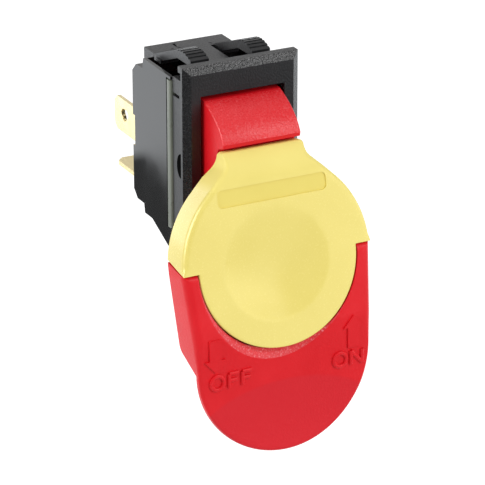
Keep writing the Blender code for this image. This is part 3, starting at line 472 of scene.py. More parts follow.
def arc(centre, radius, start, end, steps):
    """Points on an arc, both ends included."""
    angles = [start + (end - start) * step / steps for step in range(steps + 1)]
    return oval(centre, (radius, radius), angles)


def line(start, end, steps):
    """Points on a line, without its last point."""
    return [tuple(a + (b - a) * step / steps for a, b in zip(start, end)) for step in range(steps)]


def bezier(start, control, end, steps):
    """Points on a quadratic curve, without its last point."""
    points = []
    for step in range(steps):
        t = step / steps
        weights = ((1 - t) ** 2, 2 * t * (1 - t), t * t)
        points.append(tuple(weights[0] * a + weights[1] * b + weights[2] * c
                            for a, b, c in zip(start, control, end)))
    return points


def rounded_box(half_x, low, high, radius, steps=5):
    """A rectangle about x = 0 with round corners."""
    quarter = math.pi / 2
    corners = [(half_x - radius, high - radius), (radius - half_x, high - radius),
               (radius - half_x, low + radius), (half_x - radius, low + radius)]
    points = []
    for index, corner in enumerate(corners):
        points += arc(corner, radius, index * quarter, (index + 1) * quarter, steps)
    return points


def inset(outline, distances):
    """Move each point of a counter-clockwise outline inwards by its own distance, square to its two edges."""
    points = []
    for index, here in enumerate(outline):
        before = Vector(outline[index - 1])
        after = Vector(outline[(index + 1) % len(outline)])
        first = (Vector(here) - before).normalized()
        second = (after - Vector(here)).normalized()
        normals = [Vector((edge.y, -edge.x)) for edge in (first, second)]
        push = (normals[0] + normals[1]) / max(0.3, 1 + normals[0].dot(normals[1]))
        points.append(tuple(Vector(here) - push * distances[index]))
    return points


def turn_at(outline, index):
    """How far a counter-clockwise outline turns left at one of its points."""
    here = Vector(outline[index])
    before = here - Vector(outline[index - 1])
    after = Vector(outline[(index + 1) % len(outline)]) - here
    return before.angle_signed(after) * -1.0


def taper_to_corners(outline, edges):
    """Let the rounded edge run out towards each sharp outer corner, where two rounded edges would cross."""
    corners = [Vector(point) for index, point in enumerate(outline) if turn_at(outline, index) > SHARP_CORNER]
    tapered = []
    for point, edge in zip(outline, edges):
        near = min([(Vector(point) - corner).length for corner in corners], default=edge / CORNER_TAPER)
        tapered.append(min(edge, PROUD + near * CORNER_TAPER))
    return tapered


def moulding(name, outline, edges, middle, face, back, rings=30, edge_steps=6):
    """A body with a modelled front: rings out from its middle, a rounded edge and a side wall to its back."""
    loops = []
    edges = taper_to_corners(outline, edges)
    rim = inset(outline, edges)
    for step in range(1, rings + 1):
        share = step / rings
        ring = [(middle[0] + share * (x - middle[0]), middle[1] + share * (y - middle[1])) for x, y in rim]
        loops.append([(x, y, face(x, y)) for x, y in ring])
    for step in range(1, edge_steps + 1):
        angle = math.pi / 2 * step / edge_steps
        ring = inset(outline, [edge * (1 - math.sin(angle)) for edge in edges])
        loops.append([(x, y, face(x, y) - edge * (1 - math.cos(angle))) for (x, y), edge in zip(ring, edges)])
    loops.append([(x, y, back) for x, y in outline])
    bm = skin(loops)
    bm.faces.ensure_lookup_table()
    bmesh.ops.poke(bm, faces=bm.faces[:1])
    return solid(name, bm)


def face_point(up, out):
    """The (y, z) of a point in the middle of the paddle, from its place on the paddle's face."""
    point = PADDLE_FRAME @ Vector((0.0, up, out))
    return (point.y, point.z)


def pivot_point(radius, angle):
    """The (y, z) of a point below the pivot, with the angle counted from -Z towards the operator."""
    return (PIVOT_Y - radius * math.sin(angle), -radius * math.cos(angle))


def step_height(out):
    """Height of the step where the key's side wall meets the paddle's, which climbs towards the back."""
    return STEP_HEIGHT - STEP_RISE * out


def span(hand, inner, outer):
    """The x range between two distances from the middle plane, on one side of it."""
    return sorted((hand * inner, hand * outer))


def smooth(made):
    made.data.shade_smooth()
    made.data.set_sharp_from_angle(angle=SHARP_EDGE)


def weigh_normals(made):
    """Keep large flat faces flat to the light beside their rounded edges."""
    modifier = made.modifiers.new("normals", "WEIGHTED_NORMAL")
    modifier.keep_sharp = True
    apply_modifiers(made)


def fit(made, body, node, slot, *materials):
    """Give a piece its materials, the body it rides on and the node it stands for."""
    for material in materials:
        if material.name not in made.data.materials:
            made.data.materials.append(material)
    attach(made, body)
    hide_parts(node)
    return made


# Paddle and rocker


def paddle_setback(down):
    """How far the paddle's face is set back at a distance down from the face's middle."""
    if down <= LIP_BEND_START:
        return 0.0
    return LIP_SETBACK * math.sin(math.pi / 2 * (down - LIP_BEND_START) / (PADDLE_LENGTH - LIP_BEND_START))


def paddle_face(x, y):
    """Height of the paddle's face, with the shallow finger hollow in its lip."""
    inside = max(0.0, 1 - (x / LIP_DISH_REACH[0]) ** 2 - ((y - LIP_DISH_CENTRE) / LIP_DISH_REACH[1]) ** 2)
    return -paddle_setback(-y) - LIP_DISH_DEPTH * inside ** 2 / (inside + LIP_DISH_RIM)


def tray_outline():
    """The paddle's outline: upright sides, a slight taper and a round lower end."""
    half = PADDLE_HALF_WIDTH
    right = line((END_RADIUS, -END_CENTRE), (half, 0.0), 24) + line((half, 0.0), (half, PADDLE_TOP), 8)
    top = line((half, PADDLE_TOP), (-half, PADDLE_TOP), 40)
    left = line((-half, PADDLE_TOP), (-half, 0.0), 8) + line((-half, 0.0), (-END_RADIUS, -END_CENTRE), 24)
    end = arc((0.0, -END_CENTRE), END_RADIUS, math.pi, 2 * math.pi, 80)[:-1]
    return right + top + left + end


def tray_edges(outline):
    """Radius of the front edge at each point, finer round the thin lip."""
    share = [min(1.0, max(0.0, (-y - LIP_BEND_START) / (END_CENTRE - LIP_BEND_START))) for _, y in outline]
    return [TRAY_EDGE + (TRAY_LIP_EDGE - TRAY_EDGE) * part for part in share]


def behind_tray():
    """The (y, z) outline of what lies behind the skirt and the lip."""
    far = SKIRT_LOW + 6 * PAST
    end = SKIRT_END + SKIRT_RUN
    outline = [(PADDLE_TOP + PAST, -SKIRT_TOP), (0.0, -SKIRT_TOP)]
    corner = (-SKIRT_END, -SKIRT_LOW)
    slope = (-end, -paddle_setback(end) - LIP_PLATE)
    slope_run = math.hypot(slope[0] - corner[0], slope[1] - corner[1])
    before = (corner[0] + SKIRT_ROUND, -SKIRT_LOW)
    after = tuple(a + (b - a) * SKIRT_ROUND / slope_run for a, b in zip(corner, slope))
    outline += bezier(before, corner, after, 6) + [after]
    downs = [end + (PADDLE_LENGTH + PAST - end) * step / 16 for step in range(17)]
    outline += [(-down, -paddle_setback(down) - LIP_PLATE) for down in downs]
    return outline + [(-PADDLE_LENGTH - PAST, -far), (PADDLE_TOP + PAST, -far)]


def above_tray():
    """The (y, z) outline of what the step takes off the tray, with its front corner rounded."""
    gap = FIT / 2
    round_back = (step_height(-TRAY_TOP_ROUND) - gap, -TRAY_TOP_ROUND)
    corner = (step_height(0.0) - gap, PROUD)
    round_front = (corner[0] - TRAY_TOP_ROUND, PROUD)
    far = SKIRT_LOW + PAST
    outline = [(step_height(-far) - gap, -far)]
    outline += bezier(round_back, corner, round_front, 8) + [round_front]
    return outline + [(round_front[0], PAST), (PADDLE_TOP + PAST, PAST), (PADDLE_TOP + PAST, -far)]


def recess_tool(rough_sheen):
    """The key's round recess, whose rim widens below into a crescent of coarse texture; its paler,
    pink-flecked red is painted sheen and glints.
    """
    angles = full_turn(RECESS_STEPS)
    widths = [CRESCENT_WIDTH * max(0.0, -math.sin(a + CRESCENT_TURN)) ** CRESCENT_SPREAD for a in angles]

    def ring(spread, drop):
        points = []
        for angle, width in zip(angles, widths):
            radius = RECESS_RADIUS + width * spread
            x, y = radius * math.cos(angle), radius * math.sin(angle)
            points.append((x, y, paddle_face(x, y) - drop * width * CRESCENT_SLOPE))
        return points

    above = [(x, y, PAST) for x, y, _ in ring(1.0 + 1.0 / CRESCENT_SLOPE, 0.0)]
    floor = [(x, y, -RECESS_DEPTH) for x, y, _ in ring(0.0, 0.0)]
    tool = solid("recess", skin([above, ring(1.0, 0.0), ring(0.0, 1.0), floor]))
    tool.data.materials.append(None)
    tool.data.materials.append(rough_sheen)
    # Slanted crescent faces take the paler red that is painted sheen
    for face in tool.data.polygons:
        slanted = CRESCENT_FACING[0] < abs(face.normal.z) < CRESCENT_FACING[1]
        face.material_index = 1 if slanted else 0
    return tool


def rocker_outline():
    """The (y, z) outline of the rocker, from its top end over the crown and down to its bottom end."""
    under_lip = NECK_TOP + FIT
    lip = face_point(under_lip + LIP_THICKNESS, -LIP_FRONT)
    control = (lip[0] + CROWN_FULLNESS[0], lip[1] + CROWN_FULLNESS[1])
    back = KEY_DEPTH + FIT
    heel = face_point(-TRAY_FLOOR, -back)
    notch_angle = math.asin((PIVOT_Y - BEZEL_FRONT_Y + FIT) / ROCKER_REACH) + THROW
    notch = pivot_point(ROCKER_REACH, notch_angle)
    notch_foot = (notch[0] - (notch[1] - heel[1]) * math.tan(THROW), heel[1])
    crown = bezier(CROWN_BACK, control, lip, CROWN_STEPS) + [lip]
    outline = [pivot_point(-ROCKER_REACH, -ROCKER_TOP_END)] + crown
    neck_back = NECK_SETBACK + NECK_TIP + FIT
    outline += [face_point(under_lip + LIP_UNDER, -LIP_FRONT - LIP_UNDER), face_point(under_lip, -neck_back)]
    outline += [face_point(NECK_HEEL, -back), heel, notch_foot]
    sweep = [notch_angle + (ROCKER_BOTTOM_END - notch_angle) * step / 12 for step in range(13)]
    outline += [pivot_point(ROCKER_REACH, angle) for angle in sweep]
    return outline + [(ROCKER_BACK_Y, -ROCKER_REACH / 2), (ROCKER_BACK_Y, ROCKER_REACH / 2)]


def make_rocker(red, grain_and_glints):
    """The rocker's block, with a grain on its crown whose pink flecks are painted glints, and the crown's two
    side edges rounded.
    """
    outline = rocker_outline()
    bm = skin([[(x, y, z) for y, z in outline] for x in (-ROCKER_X, ROCKER_X)])
    bmesh.ops.recalc_face_normals(bm, faces=bm.faces)
    back, low = CROWN_BACK[0] + NEAR, CROWN_BACK[1] - CROWN_DROP
    crown = [e for e in bm.edges
             if abs(e.verts[0].co.x - e.verts[1].co.x) < NEAR
             and all(v.co.y < back and v.co.z > low for v in e.verts)]
    bmesh.ops.bevel(bm, geom=crown, offset=ROCKER_EDGE, segments=4, profile=0.5, affect="EDGES")
    rocker = solid("rocker", bm)
    rocker.data.materials.append(red)
    rocker.data.materials.append(grain_and_glints)
    # Crown faces take the grain whose pink flecks are painted glints
    for face in rocker.data.polygons:
        in_front = face.center.y < CROWN_BACK[0]
        upward = face.normal.z > CROWN_UPWARD and abs(face.normal.x) < CROWN_GRAIN_GLINTS_TURN
        face.material_index = 1 if in_front and upward else 0
    return rocker


def arrow(tip, direction):
    """A raised block arrow that points up or down the face."""
    points = [(0.0, 0.0), (-ARROW_HEAD_HALF, -ARROW_HEAD), (-ARROW_STEM_HALF, -ARROW_HEAD),
              (-ARROW_STEM_HALF, -ARROW_HEAD - ARROW_STEM), (ARROW_STEM_HALF, -ARROW_HEAD - ARROW_STEM),
              (ARROW_STEM_HALF, -ARROW_HEAD), (ARROW_HEAD_HALF, -ARROW_HEAD)]
    bm = skin([[(x, y, z) for x, y in points] for z in (0.0, 1.0)])
    bmesh.ops.scale(bm, vec=(1.0, direction, 1.0), verts=bm.verts)
    bmesh.ops.translate(bm, vec=(tip[0], tip[1], 0.0), verts=bm.verts)
    return solid("arrow", bm)


def stroke(path, closed=False):
    """A raised bar with a rounded back, along a path on the paddle's face."""
    last = len(path) - 1
    loops = []
    for index, (x, y) in enumerate(path):
        before = path[index - 1] if closed or index > 0 else path[0]
        after = path[(index + 1) % len(path)] if closed or index < last else path[last]
        side = (Vector(after) - Vector(before)).orthogonal().normalized() * STROKE_HALF
        section = [(1.0, -MARK_FOOT)]
        for step in range(STROKE_STEPS + 1):
            angle = math.pi * step / STROKE_STEPS
            section.append((math.cos(angle), STROKE_WALL + STROKE_CROWN * math.sin(angle)))
        section.append((-1.0, -MARK_FOOT))
        places = [(x + side.x * share, y + side.y * share, height) for share, height in section]
        loops.append([(a, b, paddle_face(a, b) + height) for a, b, height in places])
    return solid("stroke", skin(loops, closed))


def letter(name, x, y):
    """The raised strokes of a plain upright letter."""
    half_x = LETTER_WIDTH[name] / 2
    half_y = LETTER_HEIGHT / 2
    if name == "O":
        return [stroke(oval((x, y), (half_x, half_y), full_turn(32)), closed=True)]
    runs = {
        "F": [((-1.0, -1.0), (-1.0, 1.0)), ((-1.0, 1.0), (1.0, 1.0)), ((-1.0, 0.05), (0.7, 0.05))],
        "N": [((-1.0, -1.0), (-1.0, 1.0)), ((-1.0, 1.0), (1.0, -1.0)), ((1.0, -1.0), (1.0, 1.0))],
    }
    strokes = []
    for start, end in runs[name]:
        places = [(x + half_x * share_x, y + half_y * share_y) for share_x, share_y in (start, end)]
        strokes.append(stroke(line(places[0], places[1], 4) + [places[1]]))
    return strokes


def seat_mark(mark):
    """Lay a raised mark on the paddle's curved face: its foot under the face and its top just above it."""
    for vertex in mark.data.vertices:
        height = MARK_HEIGHT if vertex.co.z > 0.5 else -MARK_FOOT
        vertex.co.z = paddle_face(vertex.co.x, vertex.co.y) + height
    mark.data.update()
    return mark


def make_paddle(red, grain_and_glints, rough_sheen):
    """Rocker, paddle, trunnions and plunger bosses in one moulding, with its raised marks."""
    outline = tray_outline()
    far = SKIRT_LOW + 2 * PAST
    paddle = moulding("paddle", outline, tray_edges(outline), TRAY_MIDDLE, paddle_face, -far, rings=36)
    paddle.data.materials.append(red)
    wide = PADDLE_HALF_WIDTH + PAST
    cut(paddle, prism("behind", behind_tray(), "X", -wide, wide))
    cut(paddle, prism("above", above_tray(), "X", -wide, wide))
    inner = PADDLE_HALF_WIDTH - SKIRT_WALL
    low = SKIRT_END - SKIRT_WALL
    inner_low = inner - (PADDLE_HALF_WIDTH - END_RADIUS) * low / END_CENTRE
    pocket = [(inner, -SKIRT_WALL), (-inner, -SKIRT_WALL), (-inner_low, -low), (inner_low, -low)]
    cut(paddle, prism("pocket", pocket, "Z", -far - PAST, -RECESS_DEPTH - TRAY_FLOOR))
    cut(paddle, recess_tool(rough_sheen))

    top_angle = math.asin(BACKING_TOP / BACKING_RADIUS)
    low_angle = -math.asin(TRAY_FLOOR / BACKING_RADIUS)
    backing = arc((0.0, 0.0), BACKING_RADIUS, low_angle, top_angle, 30)
    backing += arc((0.0, 0.0), BACKING_RADIUS, math.pi - top_angle, math.pi - low_angle, 30)
    fuse(paddle, prism("backing", backing, "Z", -BACKING_BACK, -RECESS_DEPTH))
    fuse(paddle, seat_mark(arrow(OFF_ARROW, -1.0)), seat_mark(arrow(ON_ARROW, 1.0)))
    for letters, level in ((OFF_LETTERS, OFF_LEVEL), (ON_LETTERS, ON_LEVEL)):
        for name, x in letters:
            fuse(paddle, *letter(name, x, level))

    paddle.data.transform(PADDLE_FRAME)
    fuse(paddle, make_rocker(red, grain_and_glints))
    for hand in HANDS:
        x0, x1 = span(hand, POLE_X - BOSS_HALF, ROCKER_X - PROUD)
        fuse(paddle, box("boss", (x0, -BOSS_HALF, BOSS_START), (x1, BOSS_HALF, BOSS_REACH), PLUNGER_FRAME))
        turn = Matrix.Translation(PIVOT) @ Matrix.Rotation(hand * math.pi / 2, 4, "Y")
        fuse(paddle, turned("trunnion", [(TRUNNION_RADIUS, POLE_X), (TRUNNION_RADIUS, TRUNNION_END)], turn))
    for hand in HANDS:
        place = Matrix.Translation((hand * POLE_X, 0.0, 0.0)) @ PLUNGER_FRAME
        cut(paddle, turned("bore", [(PLUNGER_BORE, BORE_START), (PLUNGER_BORE, BORE_END)], place))
    cut(paddle, box("channel", (-CHANNEL_HALF_WIDTH, 0.0, -CHANNEL_BACK),
                    (CHANNEL_HALF_WIDTH, CHANNEL_TOP, -CHANNEL_FRONT), PADDLE_FRAME))
    slot_x = TONGUE_HALF_WIDTH + FIT
    cut(paddle, box("slot", (-slot_x, TONGUE_CENTRE - TONGUE_TIP_HALF - FIT, -TONGUE_TIP - FIT),
                    (slot_x, tongue_top(-KEY_PLATE) + FIT, -RECESS_DEPTH + FIT), PADDLE_FRAME))
    paddle.data.transform(METRES)
    smooth(paddle)
    return fit(paddle, "paddle", "paddle_rocker", "red_plastic", red, grain_and_glints, rough_sheen)


# Lock key


def tongue_top(out):
    """Height of the tongue's tapered upper face at a distance out of the paddle's face."""
    return TONGUE_CENTRE + TONGUE_TIP_HALF + TONGUE_TAPER * (out + TONGUE_TIP)


def key_outline():
    """The key's outline: a small disc below, a wide cap above and a neck on top."""
    lower = arc((0.0, 0.0), KEY_DISC_RADIUS, math.pi, 2 * math.pi, 90)
    cap = PADDLE_HALF_WIDTH
    shoulder = (cap * math.cos(SHOULDER_ANGLE), cap * math.sin(SHOULDER_ANGLE))
    meet_y = shoulder[1] + (shoulder[0] - NECK_HALF_WIDTH) / math.tan(SHOULDER_ANGLE)
    fillet = (NECK_HALF_WIDTH + NECK_FILLET, meet_y + NECK_FILLET * math.tan(SHOULDER_ANGLE / 2))
    right = line((KEY_DISC_RADIUS, STEP_HEIGHT), (cap, STEP_HEIGHT), 2)
    right += arc((0.0, 0.0), cap, math.asin(STEP_HEIGHT / cap), SHOULDER_ANGLE, 36)
    turn = arc(fillet, NECK_FILLET, math.pi + SHOULDER_ANGLE, math.pi, 12)
    right += line(right[-1], turn[0], 4)[1:] + turn
    corner = (NECK_HALF_WIDTH - NECK_CORNER, NECK_TOP - NECK_CORNER)
    right += arc(corner, NECK_CORNER, 0.0, math.pi / 2, 5)
    top = line(right[-1], (-right[-1][0], NECK_TOP), 20)[1:]
    left = [(-x, y) for x, y in reversed(right)]
    return lower + right + top + left


def key_face(x, y):
    """Height of the key's face: the thumb dish, and the neck that bends back under the rocker's lip."""
    over = max(0.0, y - NECK_BEND_START) / (NECK_TOP - NECK_BEND_START)
    right = (x - DISH_CENTRE[0]) / DISH_RADIUS
    up = (y - DISH_CENTRE[1]) / DISH_RADIUS
    inside = max(0.0, 1 - right ** 2 - up ** 2)
    lean = 1 - DISH_LEAN[0] * right - DISH_LEAN[1] * up
    return -DISH_DEPTH * lean * inside ** 2 / (inside + DISH_RIM) - NECK_SETBACK * over ** 2


def key_edges(outline):
    """Radius of the front edge at each point: soft round the cap, fine below it and at the neck's top."""
    edges = []
    for x, y in outline:
        if y < STEP_HEIGHT - PROUD:
            edges.append(DISC_EDGE)
        elif y < STEP_HEIGHT + PROUD:
            edges.append(STEP_EDGE)
        else:
            share = min(1.0, max(0.0, (y - NECK_EDGE_START) / (NECK_TOP - NECK_CORNER - NECK_EDGE_START)))
            edges.append(KEY_EDGE + (DISC_EDGE - KEY_EDGE) * share)
    return edges


def make_key(yellow, panel_painted_shade):
    """Lock key: a dished front plate, a side wall and a neck above, and the tongue that holds the bolt."""
    outline = key_outline()
    far = KEY_DEPTH + PAST
    key = moulding("key", outline, key_edges(outline), KEY_MIDDLE, key_face, -KEY_DEPTH, rings=40)
    key.data.materials.append(yellow)
    gap = FIT / 2
    wide = PADDLE_HALF_WIDTH + PAST
    behind = [(-wide, -KEY_PLATE), (STEP_HEIGHT, -KEY_PLATE), (STEP_HEIGHT, -far), (-wide, -far)]
    neck_back = [(NECK_HEEL, -KEY_DEPTH), (NECK_TOP, -NECK_SETBACK - NECK_TIP),
                 (NECK_TOP + PAST, -NECK_SETBACK - NECK_TIP), (NECK_TOP + PAST, -far), (NECK_HEEL, -far)]
    cut(key, prism("behind", behind, "X", -wide, wide), prism("neck back", neck_back, "X", -wide, wide))
    below = [(-PAST, PAST), (step_height(PAST) + gap, PAST), (step_height(-far) + gap, -far), (-PAST, -far)]
    for hand in HANDS:
        x0, x1 = span(hand, KEY_DISC_RADIUS, wide)
        cut(key, prism("step", below, "X", x0, x1))
    pocket_radius = PADDLE_HALF_WIDTH - KEY_WALL
    pocket_top = math.asin((BACKING_TOP + FIT) / pocket_radius)
    pocket = arc((0.0, 0.0), pocket_radius, -FIT / pocket_radius, pocket_top, 30)
    pocket += arc((0.0, 0.0), pocket_radius, math.pi - pocket_top, math.pi + FIT / pocket_radius, 30)
    cut(key, prism("pocket", pocket, "Z", -far, -KEY_PLATE))
    # The sunk panel's darker yellow is painted shade
    sunk = rounded_box(PANEL_HALF_WIDTH, PANEL_LOW, PANEL_HIGH, PANEL_CORNER)
    panel = prism("panel", sunk, "Z", -PANEL_DEPTH, PAST)
    panel.data.materials.append(panel_painted_shade)
    cut(key, panel)
    root = -KEY_PLATE + FIT
    tongue = [(TONGUE_CENTRE - TONGUE_TIP_HALF, root), (TONGUE_CENTRE - TONGUE_TIP_HALF, -TONGUE_TIP),
              (tongue_top(-TONGUE_TIP), -TONGUE_TIP), (tongue_top(root), root)]
    fuse(key, prism("tongue", tongue, "X", -TONGUE_HALF_WIDTH, TONGUE_HALF_WIDTH))
    key.data.transform(METRES @ PADDLE_FRAME)
    smooth(key)
    return fit(key, "key", "lock_key", "yellow_plastic", yellow, panel_painted_shade)


# Pieces dressed from their solids


def merge_flats(made):
    """Join the flat faces that a solid's triangles and its cuts leave."""
    bm = bmesh.new()
    bm.from_mesh(made.data)
    bmesh.ops.remove_doubles(bm, verts=bm.verts, dist=SAME_PLACE)
    bmesh.ops.dissolve_limit(bm, angle_limit=FLAT_EDGE, verts=bm.verts, edges=bm.edges)
    bm.to_mesh(made.data)
    bm.free()


def nothing(piece):
    """No further shaping."""


def dressed(node, slot, material, width, shape=nothing, detail=nothing):
    """A piece of the housing: a node's shape with rounded edges, as moulding and stamping leave them."""
    piece = new_object(f"{node}_skin", frame["nodes"][node].data.copy())
    piece.data.materials.clear()
    piece.data.materials.append(material)
    piece.data.transform(METRES.inverted())
    merge_flats(piece)
    shape(piece)
    merge_flats(piece)
    bevel = piece.modifiers.new("edges", "BEVEL")
    bevel.width = width
    bevel.segments = BEVEL_SEGMENTS
    bevel.limit_method = "ANGLE"
    bevel.angle_limit = SHARP_EDGE
    apply_modifiers(piece)
    detail(piece)
    piece.data.transform(METRES)
    smooth(piece)
    weigh_normals(piece)
    return fit(piece, "housing", node, slot, material)


def both_hands(name, low, high):
    """A box and its mirror image across the middle plane."""
    boxes = []
    for hand in HANDS:
        x0, x1 = span(hand, low[0], high[0])
        boxes.append(box(name, (x0, low[1], low[2]), (x1, high[1], high[2])))
    return boxes


def finger_top(y):
    """Height of the crowned back of a snap-in finger."""
    return FINGER_PEAK[1] - FINGER_CURVE * (y - FINGER_PEAK[0]) ** 2


def ribbed_finger():
    """The (y, z) outline of a finger's back, with ribs for the panel's edge to catch on."""
    pitch = (FINGER_RIB_END - FINGER_TIP_Y) / RIBS
    outline = [(FINGER_TIP_Y, FINGER_UNDER[0])]
    for rib in range(RIBS):
        start = FINGER_TIP_Y + pitch * rib
        end = start + pitch * RIB_SHARE
        outline += [(start, finger_top(start)), (end, finger_top(end)), (end, finger_top(end) - RIB_DEPTH)]
        outline.append((start + pitch, finger_top(start + pitch) - RIB_DEPTH))
    return outline + [(FINGER_RIB_END, FINGER_UNDER[1])]


def shape_frame(piece):
    """Close the straps' ends, open the bridge beside the tongue and thin the flange's upright edges."""
    fuse(piece, *both_hands("slit", (CLOSED_SLIT[0], CLOSED_SLIT_Y, STRAP_TOP - CLOSED_SLIT_DEPTH),
                            (CLOSED_SLIT[1], BASE_BACK_Y, STRAP_TOP)))
    cut(piece, *both_hands("bridge", (TONGUE_STRAP_X, WELL_Y[0], WELL_Z[0]),
                           (FINGER_X - PROUD, SHOULDER_Y - FIT, WELL_Z[1])))
    cut(piece, *both_hands("rebate", (REBATE_X, -REBATE_DEPTH, -REBATE_END_Z),
                           (REBATE_X + 2 * PAST, REBATE_DEPTH, REBATE_END_Z)))


def detail_frame(grain_and_glints, painted_shade):
    """The frame's fine details: a grain on its front whose lighter flecks are painted glints, and a hole in
    each side of the collar lined with a near-black that is painted shade.
    """
    def detail(piece):
        add_frame_details(piece, painted_shade)
        piece.data.materials.append(grain_and_glints)
        front = len(piece.data.materials) - 1
        # Front faces take the grain whose lighter flecks are painted glints
        for face in piece.data.polygons:
            if face.center.y < GRAIN_GLINTS_FRONT_Y and face.normal.y > GRAIN_GLINTS_TURN:
                face.material_index = front
    return detail


def add_frame_details(piece, painted_shade):
    """Ribbed fingers, the slit in the upper strap, and the notch and hole in each side of the collar, the
    hole's walls in a near-black that is painted shade.
    """
    for hand in HANDS:
        x0, x1 = span(hand, FINGER_X, STRAP_HALF_WIDTH)
        fuse(piece, prism("ribs", ribbed_finger(), "X", x0, x1))
    cut(piece, box("slit", (SLIT_X - SLIT_HALF, SLIT_Y[0], STRAP_TOP - SLIT_DEPTH),
                   (SLIT_X + SLIT_HALF, SLIT_Y[1], STRAP_TOP + PAST)))
    cut(piece, *both_hands("notch", (COLLAR_X - NOTCH_DEPTH, NOTCH_Y[0], NOTCH_Z[0]),
                           (COLLAR_X + PAST, NOTCH_Y[1], NOTCH_Z[1])))
    outline = oval(COLLAR_HOLE, COLLAR_HOLE_REACH, [math.pi * (step / 16 - 0.5) for step in range(17)])
    for hand in HANDS:
        x0, x1 = span(hand, COLLAR_X - COLLAR_HOLE_DEPTH, COLLAR_X + PAST)
        hole = prism("hole", outline, "X", x0, x1)
        # The hole's walls take a near-black that is painted shade
        hole.data.materials.append(painted_shade)
        cut(piece, hole)


def shape_base(piece):
    """Open the wells on both sides of the upper strap."""
    cut(piece, *both_hands("well", (WELL_X[0], WELL_Y[0], WELL_Z[0]), (WELL_X[1], WELL_Y[1], WELL_Z[1])))


def bead_outline(hand):
    """The (x, y) outline of the rounded bead along the base's front edge."""
    root = BASE_X - BEAD_ROOT
    front = BASE_X + BEAD_PROUD
    points = [(root, BEAD_Y[0]), (root, BEAD_Y[1])]
    points += arc((front - BEAD_ROUND, BEAD_Y[1] - BEAD_ROUND), BEAD_ROUND, math.pi / 2, 0.0, 8)
    points += arc((front - BEAD_ROUND, BEAD_Y[0] + BEAD_ROUND), BEAD_ROUND, 0.0, -math.pi / 2, 8)
    return [(hand * x, y) for x, y in points]


def detail_base(bead_painted_highlight):
    """The bead along each front edge of the base, with a fine groove behind it; the bead's grey-green is a
    painted highlight.
    """
    def detail(piece):
        cut(piece, *both_hands("groove", (BASE_X - GROOVE_DEPTH, BEAD_Y[0] - PAST, BEAD_Z[0]),
                               (BASE_X + PAST, BEAD_Y[1] + GROOVE_WIDTH, BEAD_Z[1])))
        for hand in HANDS:
            bead = prism("bead", bead_outline(hand), "Z", BEAD_Z[0] + GROOVE_WIDTH, BEAD_Z[1] - GROOVE_WIDTH)
            # The bead's grey-green is a painted highlight
            bead.data.materials.append(bead_painted_highlight)
            fuse(piece, bead)
    return detail


def open_tab_hole(piece):
    """Lengthen the latch hole in a tab."""
    cut(piece, prism("hole", oval(TAB_HOLE, TAB_HOLE_REACH, full_turn(32)), "X", -BASE_X, BASE_X))


# Finishes


def new_material(name):
    made = bpy.data.materials.new(name)
    made.use_nodes = True
    return made, made.node_tree, made.node_tree.nodes["Principled BSDF"]


def noise(tree, size, detail=2.0, stretch=None):
    """Noise whose features are about a size in millimetres, fixed to the piece."""
    place = tree.nodes.new("ShaderNodeTexCoord")
    texture = tree.nodes.new("ShaderNodeTexNoise")
    texture.inputs["Scale"].default_value = PER_METRE / size
    texture.inputs["Detail"].default_value = detail
    vector = place.outputs["Object"]
    if stretch is not None:
        mapping = tree.nodes.new("ShaderNodeMapping")
        mapping.inputs["Scale"].default_value = stretch
        tree.links.new(vector, mapping.inputs["Vector"])
        vector = mapping.outputs["Vector"]
    tree.links.new(vector, texture.inputs["Vector"])
    return texture.outputs["Fac"]


def spread(tree, value, low, high, start=0.3, end=0.7):
    """Map a value to a range."""
    node = tree.nodes.new("ShaderNodeMapRange")
    node.inputs["From Min"].default_value = start
    node.inputs["From Max"].default_value = end
    node.inputs["To Min"].default_value = low
    node.inputs["To Max"].default_value = high
    tree.links.new(value, node.inputs["Value"])
    return node.outputs["Result"]


def tint(tree, value, low, high, start=0.3, end=0.7):
    """Map a value to a blend of two colours."""
    ramp = tree.nodes.new("ShaderNodeValToRGB")
    ramp.color_ramp.elements[0].position = start
    ramp.color_ramp.elements[0].color = (*low, 1.0)
    ramp.color_ramp.elements[1].position = end
    ramp.color_ramp.elements[1].color = (*high, 1.0)
    tree.links.new(value, ramp.inputs["Fac"])
    return ramp.outputs["Color"]


def bump(tree, shader, value, depth, strength=1.0):
    """Raise a value as fine relief, a depth in millimetres."""
    node = tree.nodes.new("ShaderNodeBump")
    node.inputs["Strength"].default_value = strength
    node.inputs["Distance"].default_value = depth * MM
    tree.links.new(value, node.inputs["Height"])
    tree.links.new(node.outputs["Normal"], shader.inputs["Normal"])


def along_axis(tree, output, axis):
    """How far a place or a direction lies along an axis."""
    place = tree.nodes.new("ShaderNodeTexCoord")
    dot = tree.nodes.new("ShaderNodeVectorMath")
    dot.operation = "DOT_PRODUCT"
    dot.inputs[1].default_value = axis
    tree.links.new(place.outputs[output], dot.inputs[0])
    return dot.outputs["Value"]


def connect(tree, value, socket):
    """Set a socket to a number, or link it to an output."""
    if isinstance(value, float):
        socket.default_value = value
    else:
        tree.links.new(value, socket)


def combine(tree, operation, *values):
    """One or two values, each a number or an output, put through an operation."""
    node = tree.nodes.new("ShaderNodeMath")
    node.operation = operation
    for value, socket in zip(values, node.inputs):
        connect(tree, value, socket)
    return node.outputs[0]


def towards(tree, factor, first, colour):
    """A colour that goes from an output's colour to a fixed one as a factor goes from 0 to 1."""
    mix = tree.nodes.new("ShaderNodeMix")
    mix.data_type = "RGBA"
    tree.links.new(factor, mix.inputs["Factor"])
    tree.links.new(first, mix.inputs["A"])
    mix.inputs["B"].default_value = (*colour, 1.0)
    return mix.outputs["Result"]


